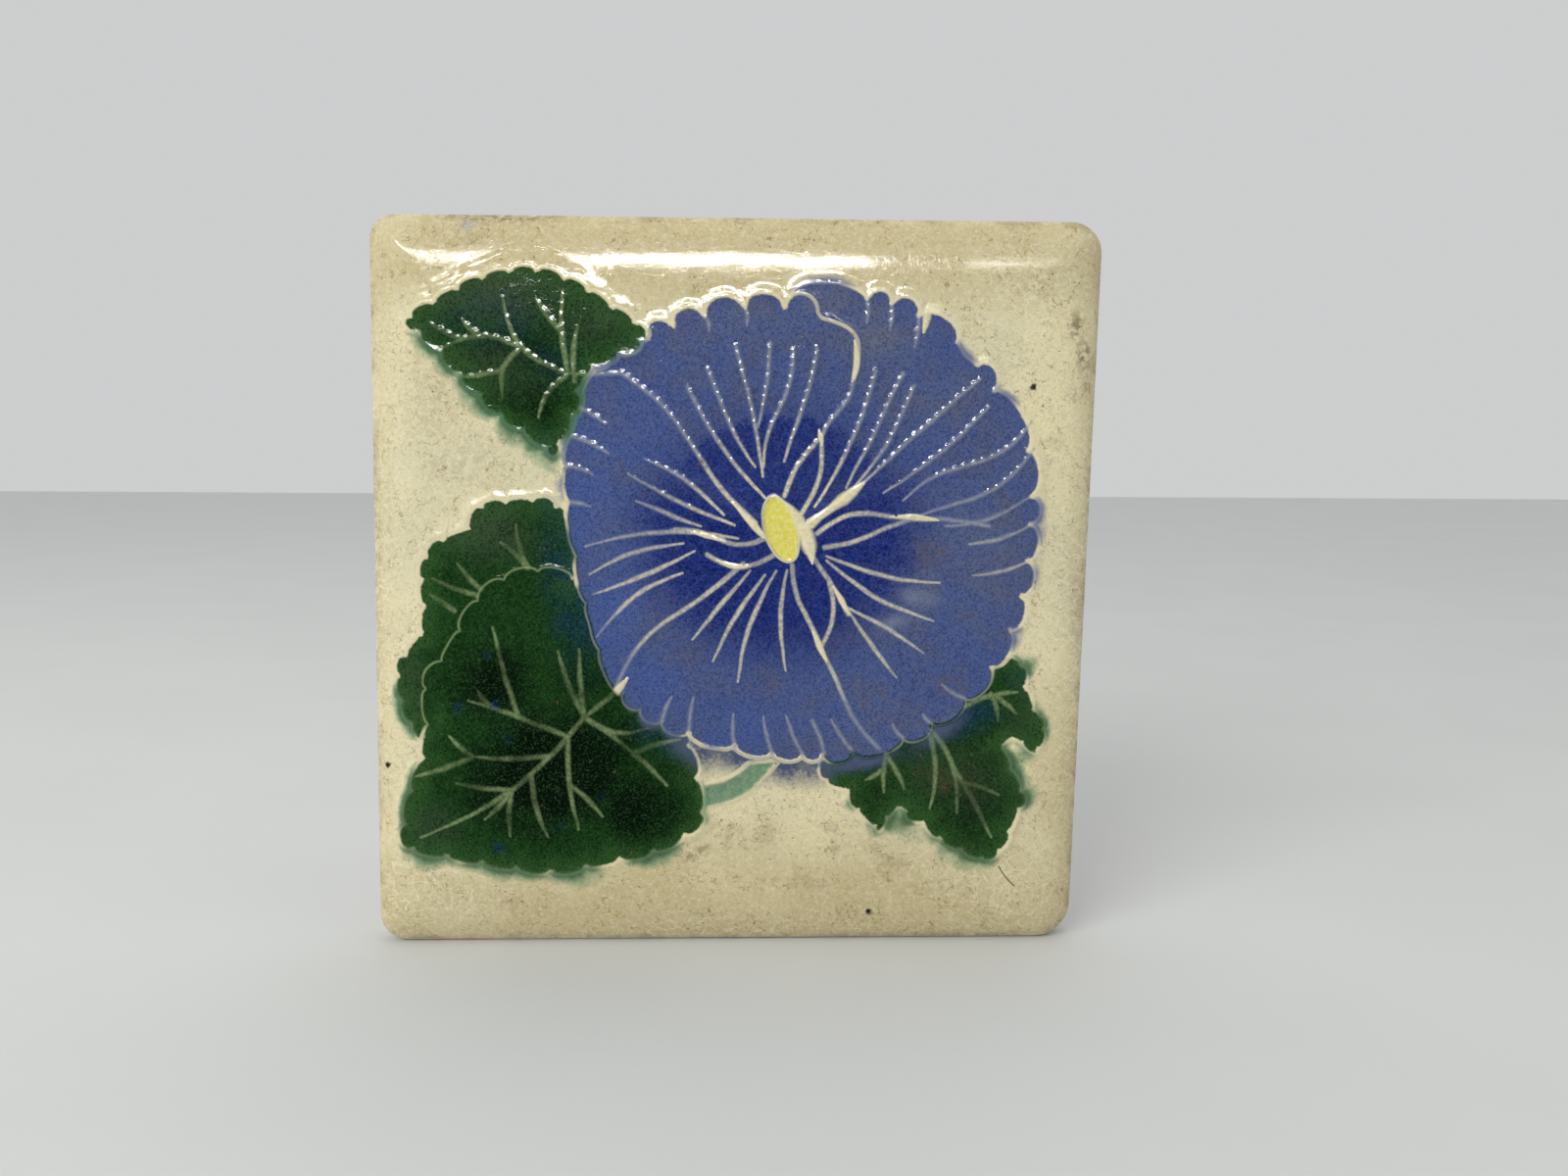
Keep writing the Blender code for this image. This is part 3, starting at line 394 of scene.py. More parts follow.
def ridge(points, kind, reach, startShare=1.0, endShare=1.0):
    # A raised line, with its half width at the foot and its share of full height at each point.
    lengths = pathLengths(points)
    taper = max(lengths[-1] * 0.4, 1e-9)
    share = np.minimum(1.0, startShare + (1 - startShare) * lengths / taper)
    share = np.minimum(share, endShare + (1 - endShare) * (lengths[-1] - lengths) / taper)
    return {"points": handWobble(points), "kind": kind, "reach": reach * share, "share": share}


def fanVeins(fan):
    for k, tipAngle in enumerate(fan["tips"]):
        root = fromPoint(drawing["eyeCentre"], fan["roots"][k], fan["root"][k])
        tip = fromPoint(drawing["eyeCentre"], tipAngle, fan["reach"][k])
        yield along(root, tip, fan["bow"][k], fan["sway"][k] if "sway" in fan else 0.0)


def leafVeins(leaf):
    # The midrib, the side veins that leave it, and the forks that leave those.
    start, end, bow = leaf["midrib"]
    parts = drawing["ribParts"]
    rib = along(start, end, bow, steps=parts * 4)
    sides = []
    for share, heading, length, veinBow in leaf["veins"]:
        if 0 <= share <= 1:
            root = rib[round(share * parts) * 4]
        else:
            root = rib[0] + share * (rib[-1] - rib[0])
        sides.append(along(root, fromPoint(root, heading, length), veinBow))
    parts = drawing["veinParts"]
    for number, share, turn, length in leaf.get("forks", ()):
        vein = sides[number]
        root = vein[round(share * parts) * (len(vein) - 1) // parts]
        step = vein[-1] - vein[0]
        heading = math.degrees(math.atan2(step[1], step[0])) + turn
        sides.append(along(root, fromPoint(root, heading, length), drawing["twigBow"]))
    return [rib] + sides


def draw():
    # All raised lines, and the closed shapes that the glazes fill.
    lines = []
    vein, outline, tip = drawing["veinReach"], drawing["outlineReach"], drawing["tipShare"]
    centre, eyeCentre = drawing["flowerCentre"], drawing["eyeCentre"]
    petals = drawing["petals"]
    edges = [petalEdge(petal) for petal in petals]
    curves = [polarPoints(centre, *edge) for edge in edges]
    curves[0] = np.vstack([curves[0], along(*drawing["shoulder"])[1:]])
    shapes = [np.vstack([curve, [eyeCentre]]) for curve in curves]
    leafShapes = {leaf["name"]: crenated(leaf) for leaf in drawing["leaves"]}
    over = [leafShapes[leaf["name"]] for leaf in drawing["leaves"] if "overFlower" in leaf]

    for k, petal in enumerate(petals):
        inFront = over + (shapes[:1] if k else [])
        for run in visibleRuns(curves[k], inFront):
            lines.append(ridge(run, "outline", outline))
        for angle, length in zip(petalNotches(petal)[1:-1], petal["slits"]):
            if not length:
                continue
            notch = petalReach(petal, angle) - petal["depth"]
            lean = petal["lean"] * (length / max(petal["slits"])) ** 2
            slit = along(fromPoint(centre, angle, notch),
                         fromPoint(centre, angle + lean, notch - length), drawing["twigBow"])
            for run in visibleRuns(slit, inFront):
                lines.append(ridge(run, "vein", vein, endShare=tip))

    turn = np.linspace(0, 2 * np.pi, 49)
    lean = math.radians(drawing["eyeLean"])
    u, v = drawing["eyeHalfSize"][0] * np.cos(turn), drawing["eyeHalfSize"][1] * np.sin(turn)
    eye = np.c_[eyeCentre[0] + u * math.cos(lean) - v * math.sin(lean),
                eyeCentre[1] + u * math.sin(lean) + v * math.cos(lean)]
    lines.append(ridge(eye, "outline", outline * drawing["eyeSwell"]))
    for fan in drawing["fans"]:
        end = fan.get("tip", tip)
        lines.extend(ridge(line, "vein", vein, drawing["rootShare"], end) for line in fanVeins(fan))
    lines.extend(ridge(along(*line), "vein", vein) for line in drawing["petalLines"])
    for start, end, bow, reaches in drawing["knobs"]:
        line = along(start, end, bow)
        knob = ridge(line, "knob", 1.0)
        knob["reach"] = np.array([spread(reaches, k / (len(line) - 1)) for k in range(len(line))])
        lines.append(knob)

    run = ridge(along(*drawing["run"]), "outline", drawing["runReach"], 0.4, 0.4)
    run["share"] = run["share"] * drawing["runShare"]
    lines.append(run)

    inFront = list(shapes)
    for leaf in drawing["leaves"]:
        shape = leafShapes[leaf["name"]]
        fronts = [] if "overFlower" in leaf else inFront
        for run in visibleRuns(np.vstack([shape, shape[:1]]), fronts):
            lines.append(ridge(run, "outline", outline * leaf["swell"]))
        stalk = [along(*leaf["stalk"])] if "stalk" in leaf else []
        for line in stalk + leafVeins(leaf):
            for run in visibleRuns(line, fronts):
                lower = ridge(run, "vein", vein, endShare=tip)
                lower["share"] = lower["share"] * drawing["leafVeinShare"]
                lines.append(lower)
        inFront.append(shape)
    stem = [along(*line) for line in drawing["stemLines"]]
    for line in stem:
        for run in visibleRuns(line, inFront):
            lines.append(ridge(run, "outline", outline * drawing["stemSwell"]))

    first = petals[0]["start"]
    around = np.arange(first - 360, first, 0.3)
    reach = np.max([np.interp(around, a[::-1], r[::-1], 0, 0) for a, r in edges], axis=0)
    fills = {
        "flower": polarPoints(centre, around, reach),
        "eye": eye[:-1],
        "stem": np.vstack([stem[1], stem[0][::-1]]),
    }
    fills.update(leafShapes)
    return lines, {name: handWobble(loop) for name, loop in fills.items()}


def tileLoop(inset, step):
    # The tile's edge moved in by inset, anticlockwise as the picture is seen.
    lean = tile["outOfSquare"] / tile["height"]
    halfWidth, halfHeight = tile["width"] / 2, tile["height"] / 2
    points = []
    for k, (right, up) in enumerate(((1, 1), (-1, 1), (-1, -1), (1, -1))):
        full = tile["cornerRadii"][k]
        radius = max(full - inset, tile["leastCorner"] * full)
        middle = np.array([right * (halfWidth - inset - radius), up * (halfHeight - inset - radius)])
        turn = np.radians(90 * k + np.linspace(0, 90, tile["cornerSteps"] + 1))
        points.extend(middle + radius * np.c_[np.cos(turn), np.sin(turn)])
    closed = np.array(points + points[:1])
    even = evenRun(closed, step)[0][:-1]
    return np.c_[even[:, 0] + lean * even[:, 1], even[:, 1]]


def distanceTo(points, loop, chunk=1500):
    # Distance from each point to a closed line.
    ends = np.roll(loop, -1, axis=0)
    run = ends - loop
    squared = np.maximum((run**2).sum(axis=1), 1e-12)
    nearest = np.empty(len(points))
    for k in range(0, len(points), chunk):
        part = points[k:k + chunk]
        offsetX = part[:, 0][:, None] - loop[:, 0]
        offsetZ = part[:, 1][:, None] - loop[:, 1]
        t = np.clip((offsetX * run[:, 0] + offsetZ * run[:, 1]) / squared, 0, 1)
        offsetX -= t * run[:, 0]
        offsetZ -= t * run[:, 1]
        nearest[k:k + chunk] = np.sqrt((offsetX**2 + offsetZ**2).min(axis=1))
    return nearest


def signedGap(points, loop, far=14.0):
    # Distance to a closed line, negative inside it, and no more than far.
    low, high = loop.min(axis=0) - far, loop.max(axis=0) + far
    near = ((points > low) & (points < high)).all(axis=1)
    gap = np.full(len(points), far)
    gap[near] = np.minimum(distanceTo(points[near], loop), far)
    gap[inside(points, loop)] *= -1
    return gap


def rollInset(turn):
    steepness = math.tan(math.radians(turn)) * tile["rollWidth"] / tile["rollDepth"]
    return tile["rollWidth"] * (1 - steepness / math.sqrt(1 + steepness**2))


def rollDrop(gap):
    # How far the face has fallen back at each distance from the edge: a quarter of an ellipse.
    share = np.clip(1 - gap / tile["rollWidth"], 0, 1)
    return tile["rollDepth"] * (1 - np.sqrt(1 - share**2))


def pointTree(points):
    tree = kdtree.KDTree(len(points))
    for number, (x, z) in enumerate(points.tolist()):
        tree.insert((x, z, 0), number)
    tree.balance()
    return tree


def nearestGaps(tree, points):
    return np.array([tree.find((x, z, 0))[2] for x, z in points.tolist()])


def addSpaced(taken, extra, gap):
    # Adds the points that keep the gap from those taken, and about the gap from one another.
    cells = np.floor(extra / gap).astype(int)
    _, first = np.unique(cells, axis=0, return_index=True)
    extra = extra[np.sort(first)]
    extra = extra[nearestGaps(pointTree(taken), extra) > gap]
    return np.vstack([taken, extra])


def stripRows(line, rows, spacing):
    # Points beside a raised line in rows at the given distances, with a fan of them round each end.
    points, run, _ = evenRun(line["points"], spacing)
    side = np.c_[-run[:, 1], run[:, 0]]
    for row in rows:
        made = [points + side * row, points - side * row] if row else [points]
        if row:
            for end, sign in ((0, -1), (-1, 1)):
                for turn in np.radians((-60, -20, 20, 60)):
                    way = sign * run[end] * math.cos(turn) + side[end] * math.sin(turn)
                    made.append((points[end] + way * row)[None])
        yield row, np.vstack(made)


def staggeredGrid(step, loop, inset):
    # Points in staggered rows inside a closed line, and no nearer to it than the inset.
    count = math.ceil(0.6 * tile["height"] / step)
    i, j = np.meshgrid(np.arange(-count, count + 1), np.arange(-count, count + 1))
    grid = np.c_[(i + 0.5 * (j % 2)).ravel() * step, j.ravel() * step * 0.866]
    return grid[signedGap(grid, loop, 2 * inset) < -inset]


faceMesh = {  # how closely the points of the face lie, in millimetres
    "rows": {  # distances of the rows of points beside a raised line
        "vein": (0.0, 0.2, 0.42, 0.68, 0.98),
        "outline": (0.0, 0.22, 0.46, 0.74, 1.1),
        "knob": (0.0, 0.3, 0.65, 1.05, 1.5, 2.1),
    },
    "bankRows": (1.5, 1.95, 2.45, 3.0, 3.6),  # outside an outline only
    "rowStep": 0.46,  # spacing along a row
    "bankStretch": 1.5,  # and how much wider it is on the banks
    "nearestLine": 0.86,  # share of its distance that a row keeps from every other line
    "bankStart": 1.35,
    "lineGap": 0.3,  # least gap between the points on the lines, beside them, on the banks and on the ground
    "rowGap": 0.17,
    "bankGap": 0.42,
    "groundGap": 0.62,
    "ringStep": 1.0,  # spacing along the roll's rings, and its growth with each millimetre from the rim
    "ringGrowth": 0.08,
    "ringShare": 0.6,  # share of a ring's inset that its points keep from others, within the limits
    "ringGaps": (0.04, 0.5),
    "groundStep": 1.2,
    "groundInset": 2.0,
    "rimInset": 0.02,
}


def facePoints(lines, fills, rim):
    # The points of the face: rim, raised lines row by row, banks, roll and ground.
    crestTree = pointTree(np.vstack([evenRun(line["points"], 0.2)[0] for line in lines]))
    step = faceMesh["rowStep"]
    batches = {}
    for line in lines:
        for row, made in stripRows(line, faceMesh["rows"][line["kind"]], step):
            batches.setdefault(row, []).append(made)
    taken = rim
    for row in sorted(batches):
        made = np.vstack(batches[row])
        made = made[nearestGaps(crestTree, made) > faceMesh["nearestLine"] * row - 0.01]
        taken = addSpaced(taken, made, faceMesh["rowGap"] if row else faceMesh["lineGap"])
    pads = [fills[name] for name in fills if name not in ("eye", "stem")]
    outlines = [line for line in lines if line["kind"] == "outline"]
    bank = np.vstack([made for line in outlines
                      for _, made in stripRows(line, faceMesh["bankRows"], step * faceMesh["bankStretch"])])
    bank = bank[~hidden(bank, pads)]
    bank = bank[nearestGaps(crestTree, bank) > faceMesh["bankStart"]]
    taken = addSpaced(taken, bank, faceMesh["bankGap"])
    for turn in tile["rollTurns"]:
        inset = rollInset(turn)
        ring = tileLoop(inset, faceMesh["ringStep"] * (1.0 + faceMesh["ringGrowth"] * inset))
        taken = addSpaced(taken, ring, np.clip(faceMesh["ringShare"] * inset, *faceMesh["ringGaps"]))
    ground = staggeredGrid(faceMesh["groundStep"], rim, faceMesh["groundInset"])
    taken = addSpaced(taken, ground, faceMesh["groundGap"])
    kept = signedGap(taken[len(rim):], rim, 3.0) < -faceMesh["rimInset"]
    return taken[np.r_[np.ones(len(rim), bool), kept]]


def fillLoop(points, rimCount):
    # Triangles between the points, inside the loop of the first ones.
    edges = [(k, (k + 1) % rimCount) for k in range(rimCount)]
    flat, _, faces, *_ = delaunay_2d_cdt([Vector(p) for p in points.tolist()], edges, [], 1, 1e-5, False)
    if len(flat) != len(points):
        raise ValueError("two points of the mesh coincide")
    return [tuple(face) for face in faces]


def sideRows(rim):
    # Rows from the rim back over the sides: how far in from the edge and how far from the back each is.
    lengths = pathLengths(np.vstack([rim, rim[:1]]))[:-1] / 10.0
    wave = np.sin(lengths * 1.1) + 0.6 * np.sin(lengths * 2.7 + 1.0) + 0.35 * np.sin(lengths * 6.1 + 2.0)
    stop = tile["glazeStop"] + tile["glazeStopWave"] * wave / 1.95
    edgeY = tile["thickness"] - tile["rollDepth"]
    lip, arris = tile["glazeLip"], tile["backArris"]
    rows = [(0.0, edgeY - fall, False) for fall in tile["sideFalls"]]
    rows += [(-bulge * lip, stop + rise, False) for bulge, rise in tile["lipRows"]]
    rows += [(lip, stop, True), (lip, stop - tile["clayStep"], True), (lip, arris, True)]
    rows += [(inward * arris, up * arris, True) for inward, up in tile["arrisRows"]]
    return [(np.full(len(rim), inset), np.zeros(len(rim)) + depth, bare) for inset, depth, bare in rows]


def insetLoop(rim, inset):
    run = np.roll(rim, -1, axis=0) - np.roll(rim, 1, axis=0)
    run /= np.hypot(run[:, 0], run[:, 1])[:, None]
    return rim + np.c_[-run[:, 1], run[:, 0]] * inset[:, None]


def blankTile(lines, fills):
    # The plain tile as one closed skin, with a point wherever the raised drawing will need one.
    rim = tileLoop(0.0, tile["rimStep"])
    count = len(rim)
    face = facePoints(lines, fills, rim)
    gap = distanceTo(face, rim)
    gap[:count] = 0.0
    points = [np.c_[face[:, 0], rollDrop(gap) - tile["thickness"], face[:, 1]]]
    faces = fillLoop(face, count)
    bare = [np.zeros(len(face))]
    last, total = 0, len(face)
    loop = rim
    for inset, depth, isBare in sideRows(rim):
        loop = insetLoop(rim, inset)
        points.append(np.c_[loop[:, 0], -depth, loop[:, 1]])
        bare.append(np.full(count, float(isBare)))
        for k in range(count):
            ahead = (k + 1) % count
            faces.append((last + k, total + k, total + ahead, last + ahead))
        last, total = total, total + count
    back = np.vstack([loop, staggeredGrid(tile["backStep"], loop, tile["backInset"])])
    points.append(np.c_[back[count:, 0], np.zeros(len(back) - count), back[count:, 1]])
    bare.append(np.ones(len(back) - count))
    for corners in fillLoop(back, count):
        numbers = [last + n if n < count else total + n - count for n in corners]
        faces.append(tuple(reversed(numbers)))
    print("blank tile:", len(face), "points on its face,", len(faces), "faces in all")
    return np.vstack(points), faces, face, gap, np.concatenate(bare)


# Places on the face where glaze ran, dirt caught, colour lies differently and shade is painted: x, z, half
# width, half height, turn in degrees and amount.
marks = {
    "blueBleed": (
        (18, 63.0, 10, 4.5, 0, 0.8), (47.5, 49.5, 5, 4, 0, 0.9), (57, 41, 6, 3.5, -15, 0.6),
        (64.5, 16, 4, 8, 0, 1.0), (64, 4, 3, 7, 0, 0.4), (60, -10, 4.5, 4, 0, 0.8),
        (12, -40.5, 9, 5, -12, 0.45), (-4, -34, 5, 4, 0, 0.3), (-37, 20, 3.5, 7, 0, 0.8),
        (-37.5, 28, 3, 4, 0, 0.5), (-15, -30.5, 15, 5, -38, 0.6), (2, -40, 9, 5, -10, 0.3),
        (-31.8, 37, 4.2, 15, -12, 1.7), (-26, 47, 8, 3, 15, 0.8),
    ),
    "greenBleed": (
        (-61, 47, 9, 6, -40, 1.3), (-52, 38.5, 11, 7, -42, 1.3), (-44, 31, 11, 7, -38, 1.7),
        (-39, 26, 8, 6, -30, 1.5), (-32.3, 38, 3.4, 13, -12, 0.9), (-69, -26, 6, 9, 0, 1.5),
        (-68, -45, 5, 12, 0, 1.2), (-66, -58, 11, 6, 0, 1.3), (-50, -61, 16, 6, 0, 1.3),
        (-33, -62.5, 11, 6, 0, 1.5), (-16, -58, 10, 6, 15, 1.3), (63, -14.5, 6, 5, 0, 1.2),
        (67, -27, 5, 9, 0, 0.9), (59, -37.5, 8, 7, -30, 1.7), (50, -59.5, 12, 7, -15, 1.6),
        (38, -54.5, 9, 6, -30, 1.5), (35.5, -50, 4.5, 5.5, 0, 1.6), (23, -46, 5, 3, 0, 0.7),
        (27, -53, 7, 5, 0, 1.0), (64, -42, 5, 10, 0, 1.0), (45, -56.5, 13, 5, -18, 1.3),
        (-5, -45, 5, 8, 0, 0.5),
    ),
    "blueTint": (
        (-33, 0, 9, 26, 8, 0.8), (-12, -31, 12, 6, -15, 0.9), (-57.2, -24.7, 1.5, 1.9, 0, 1.2),
        (-49.7, -24.2, 1.5, 1.7, 0, 1.2), (-47, -31, 1.1, 1.6, 0, 1.1), (-49.3, -54.7, 2.2, 1.6, 0, 1.0),
        (-51, -13, 1.0, 1.0, 0, 1.0), (-28, -44, 1.4, 1.0, 0, 0.8), (-36, -50, 2.0, 1.2, 30, 0.7),
        (-38, 24, 4, 12, 0, 0.8), (50, -27, 10, 6, 25, 0.9), (27, -36, 8, 5, 0, 1.0),
        (40, -33, 9, 4, 20, 0.7), (-48, 55, 16, 8, 0, 0.35), (-36, 47, 10, 8, 0, 0.25),
        (60, -18, 5, 5, 0, 0.3),
    ),
    "leafDark": (
        (-38, -38, 28, 20, 10, 1.6), (-20, -46, 16, 13, 0, 1.1), (-50, -20, 14, 14, 0, 1.0),
        (-31, -18, 14, 12, 0, 0.6), (-42, 48, 17, 10, -20, 0.55), (-41, 39, 12, 10, 0, 0.7),
        (50, -46, 12, 13, -25, 0.6), (29, -45, 7, 6, 0, 0.6), (52, -32, 8, 8, 0, 0.3),
    ),
    "leafPale": (
        (-63, -50, 9, 8, 0, 0.8), (-47, 60, 24, 10, 0, 1.2), (-29, 55, 14, 9, 0, 0.8),
        (-48, 46, 16, 8, -20, 0.7), (-50, 12, 15, 10, 0, 1.0), (45, -38, 26, 14, -20, 0.6),
        (-67, -18, 5, 12, 0, 0.5), (61, -27, 7, 10, 0, 0.55), (58, -40, 6, 10, 0, 0.4),
        (-62, 54, 7, 5, 0, 0.5),
    ),
    "haze": (
        (30, 52, 15, 11, 0, 1.0), (18, 60, 12, 7, 0, 0.7), (44, 40, 14, 12, 0, 0.5),
        (52, 12, 16, 12, 0, 0.8), (38, 0, 7, 9, 0, 1.0), (33, -6, 7, 5, 20, 0.9), (58, 30, 8, 14, 0, 0.5),
        (-3, 52, 18, 6, 0, 0.3), (3, 56, 22, 7, 0, 0.5), (30, -28, 26, 14, 0, 0.35), (55, 5, 16, 30, 0, 0.4),
    ),
    "bright": (
        (-20, 32, 14, 12, 0, 0.6), (-30, 18, 10, 18, 0, 0.9), (-26, -4, 12, 16, 0, 1.0),
        (-18, -18, 12, 9, -20, 1.0), (4, -28, 22, 8, 0, 0.8), (26, -27, 14, 8, 15, 0.6),
        (48, -10, 12, 14, 0, 0.35),
    ),
    # Painted shade: the ground turns darker and tan towards the top, the bottom and the lower right.
    "paintedShade": (
        (-10, 68, 150, 18, 0, 1.3), (64, -62, 26, 20, 0, 0.7), (20, -58, 34, 16, 0, 0.5),
        (40, -47, 16, 12, 0, 0.4), (60, -60, 20, 18, 0, 0.4), (-60, 40, 12, 20, 0, 0.2),
        (50, -70, 30, 8, 0, 0.5), (0, -68, 160, 26, 0, 1.3), (70, -40, 12, 34, 0, 1.0),
    ),
    "stainAndShade": (
        (70.5, 55, 2.8, 5, 0, 1.4), (72.5, 49, 2.4, 5, 0, 1.5), (73.5, 43, 1.8, 4, 0, 0.9),
        (-8, -56, 6, 2.2, 25, 0.9), (-47, 75.8, 22, 1.6, 0, 1.3), (76.0, 17.5, 1.8, 2.6, 0, 2.2),
        (32, 68.5, 4, 0.8, 0, 0.8), (-6.5, 26.2, 1.7, 1.2, -20, 1.6), (45, -19, 6, 4, 0, 0.5),
        (8, -20, 3, 3, 0, 0.4), (48.0, -21.2, 0.7, 0.6, 0, 2.5), (41, 8, 8, 5, 0, 0.5),
        (-52, 70, 12, 6, 0, 0.3), (-62, 40, 9, 14, 0, 0.25), (-58, -66, 15, 7, 0, 0.25),
        (62, 63, 12, 10, 0, 0.25), (27, -24, 5, 3, 0, 0.35), (-53, 26, 12, 8, 0, 0.25),
        # The long thin mark at (-74, 10) is a painted shadow line down the left edge; the rest are stains.
        (73, -5, 2, 14, 0, 0.4), (-74, 10, 1.8, 40, 0, 0.6),
    ),
    "grit": (
        (22, -58, 34, 16, 0, 1.0), (0, -52, 14, 8, 0, 0.9), (-40, 70, 30, 6, 0, 0.5),
        (66, 35, 9, 26, 0, 0.6), (-55, 25, 14, 18, 0, 0.5), (40, -45, 20, 14, 0, 0.9),
        (-50, -65, 20, 9, 0, 0.4), (30, 0, 40, 40, 0, 0.2),
    ),
    "crazed": (
        (72, -8, 14, 62, 0, 1.0), (58, -62, 34, 26, 0, 0.6), (-66, -62, 26, 20, 0, 0.8),
        (-74, 0, 8, 60, 0, 0.7), (-62, 28, 18, 20, 0, 0.5), (62, 60, 20, 22, 0, 0.6),
        (40, 0, 26, 30, 0, 0.6), (0, -74, 60, 8, 0, 0.6),
    ),
    "smudge": (
        (-53.5, 74, 2.6, 2.0, 0, 0.8), (37.5, -0.8, 4.0, 3.0, 0, 0.6), (33.5, -6.2, 5.0, 2.2, 20, 0.6),
        (41, -1.5, 5, 2.5, 0, 0.35),
    ),
    "wash": (
        (2, -37, 18, 8, -6, 2.6), (15.5, -38.5, 8, 7, 0, 2.8), (26, -35.5, 11, 3.6, 10, 1.9),
        (-9, -33.5, 7, 5, -30, 1.2), (44, -29, 10, 4, 35, 0.9),
    ),
    "hole": (
        (-73, -37.5, 0.6, 0.45, 60, 1.0), (29, -69, 0.5, 0.45, 0, 1.0), (-67, -71, 0.5, 0.4, 0, 1.0),
        (33.6, 16.1, 0.45, 0.4, 0, 1.0), (-69.5, 14.8, 0.35, 0.3, 0, 0.8), (57, -63.6, 0.35, 0.3, 0, 0.8),
        (61.8, 42.6, 0.5, 0.4, 0, 0.7), (11.4, -41.5, 0.4, 0.3, 0, 0.7), (-47, 11.6, 0.6, 0.5, 0, 0.7),
    ),
}


def spotShare(points, spots):
    # The strongest of the spots at each point, full in the middle of a spot and nothing at its edge.
    share = np.zeros(len(points))
    for x, z, halfWidth, halfHeight, turn, amount in spots:
        c, s = math.cos(math.radians(turn)), math.sin(math.radians(turn))
        dx, dz = points[:, 0] - x, points[:, 1] - z
        u, v = (dx * c + dz * s) / halfWidth, (dz * c - dx * s) / halfHeight
        t = np.clip(1 - np.sqrt(u**2 + v**2), 0, 1)
        share = np.maximum(share, amount * t * t * (3 - 2 * t))
    return share


def faceValues(face, gap, fills):
    # What the relief and the glazes need to know at each point of the face.
    gaps = {name: signedGap(face, loop) for name, loop in fills.items()}
    slopes = {leaf["name"]: leaf["slope"] for leaf in drawing["leaves"]}
    slopes["flower"] = drawing["flowerSlope"]
    outer = np.min([gaps[name] / slope for name, slope in slopes.items()], axis=0)
    centre = np.array(drawing["eyeCentre"])
    away = face - centre
    values = {
        "rimGap": gap,
        "faceShare": np.clip(gap / 1.8, 0, 1),
        "outerShare": np.clip(outer, 0, 1),
        "padDepth": np.clip(-np.min([gaps[name] for name in slopes], axis=0), 0, 14),
        "flowerGap": gaps["flower"],
        "frontLeafGap": gaps["upperLeft"],
        "leafGap": np.min([gaps[name] for name in ("lowerLeftFront", "lowerLeftBack", "lowerRight")], axis=0),
        "stemGap": gaps["stem"],
        "eyeGap": gaps["eye"],
        "eyeReach": np.hypot(away[:, 0] * 0.93, away[:, 1]),
        "upward": away[:, 1] / np.maximum(np.hypot(away[:, 0], away[:, 1]), 1.0),
    }
    values.update({name: spotShare(face, spots) for name, spots in marks.items()})
    return values


def meshFrom(name, points, faces, values=None, edges=()):
    mesh = bpy.data.meshes.new(name)
    mesh.from_pydata((np.asarray(points) * mm).tolist(), edges, faces)
    for key, numbers in (values or {}).items():
        layer = mesh.attributes.new(key, "FLOAT", "POINT")
        layer.data.foreach_set("value", np.asarray(numbers, np.float32))
    return mesh


def helperObject(name, mesh):
    made = bpy.data.objects.new(name, mesh)
    bpy.context.scene.collection.objects.link(made)
    return made


def pathObject(kind, lines):
    # One kind of raised line as edges in the plane y = 0, which the geometry nodes measure from.
    points, edges, reach, share, station = [], [], [], [], []
    for line in (line for line in lines if line["kind"] == kind):
        even, _, at = evenRun(line["points"], 0.35)
        lengths = pathLengths(line["points"])
        first = len(points)
        points.extend((x, 0.0, z) for x, z in even)
        edges.extend((k, k + 1) for k in range(first, first + len(even) - 1))
        reach.extend(np.interp(at, lengths, line["reach"]))
        share.extend(np.interp(at, lengths, line["share"]))
        station.extend(at + 7.3 * first)
    return helperObject(kind + "Paths", meshFrom(kind + "Paths", points, [],
                        {"reach": reach, "share": share, "station": station}, edges))


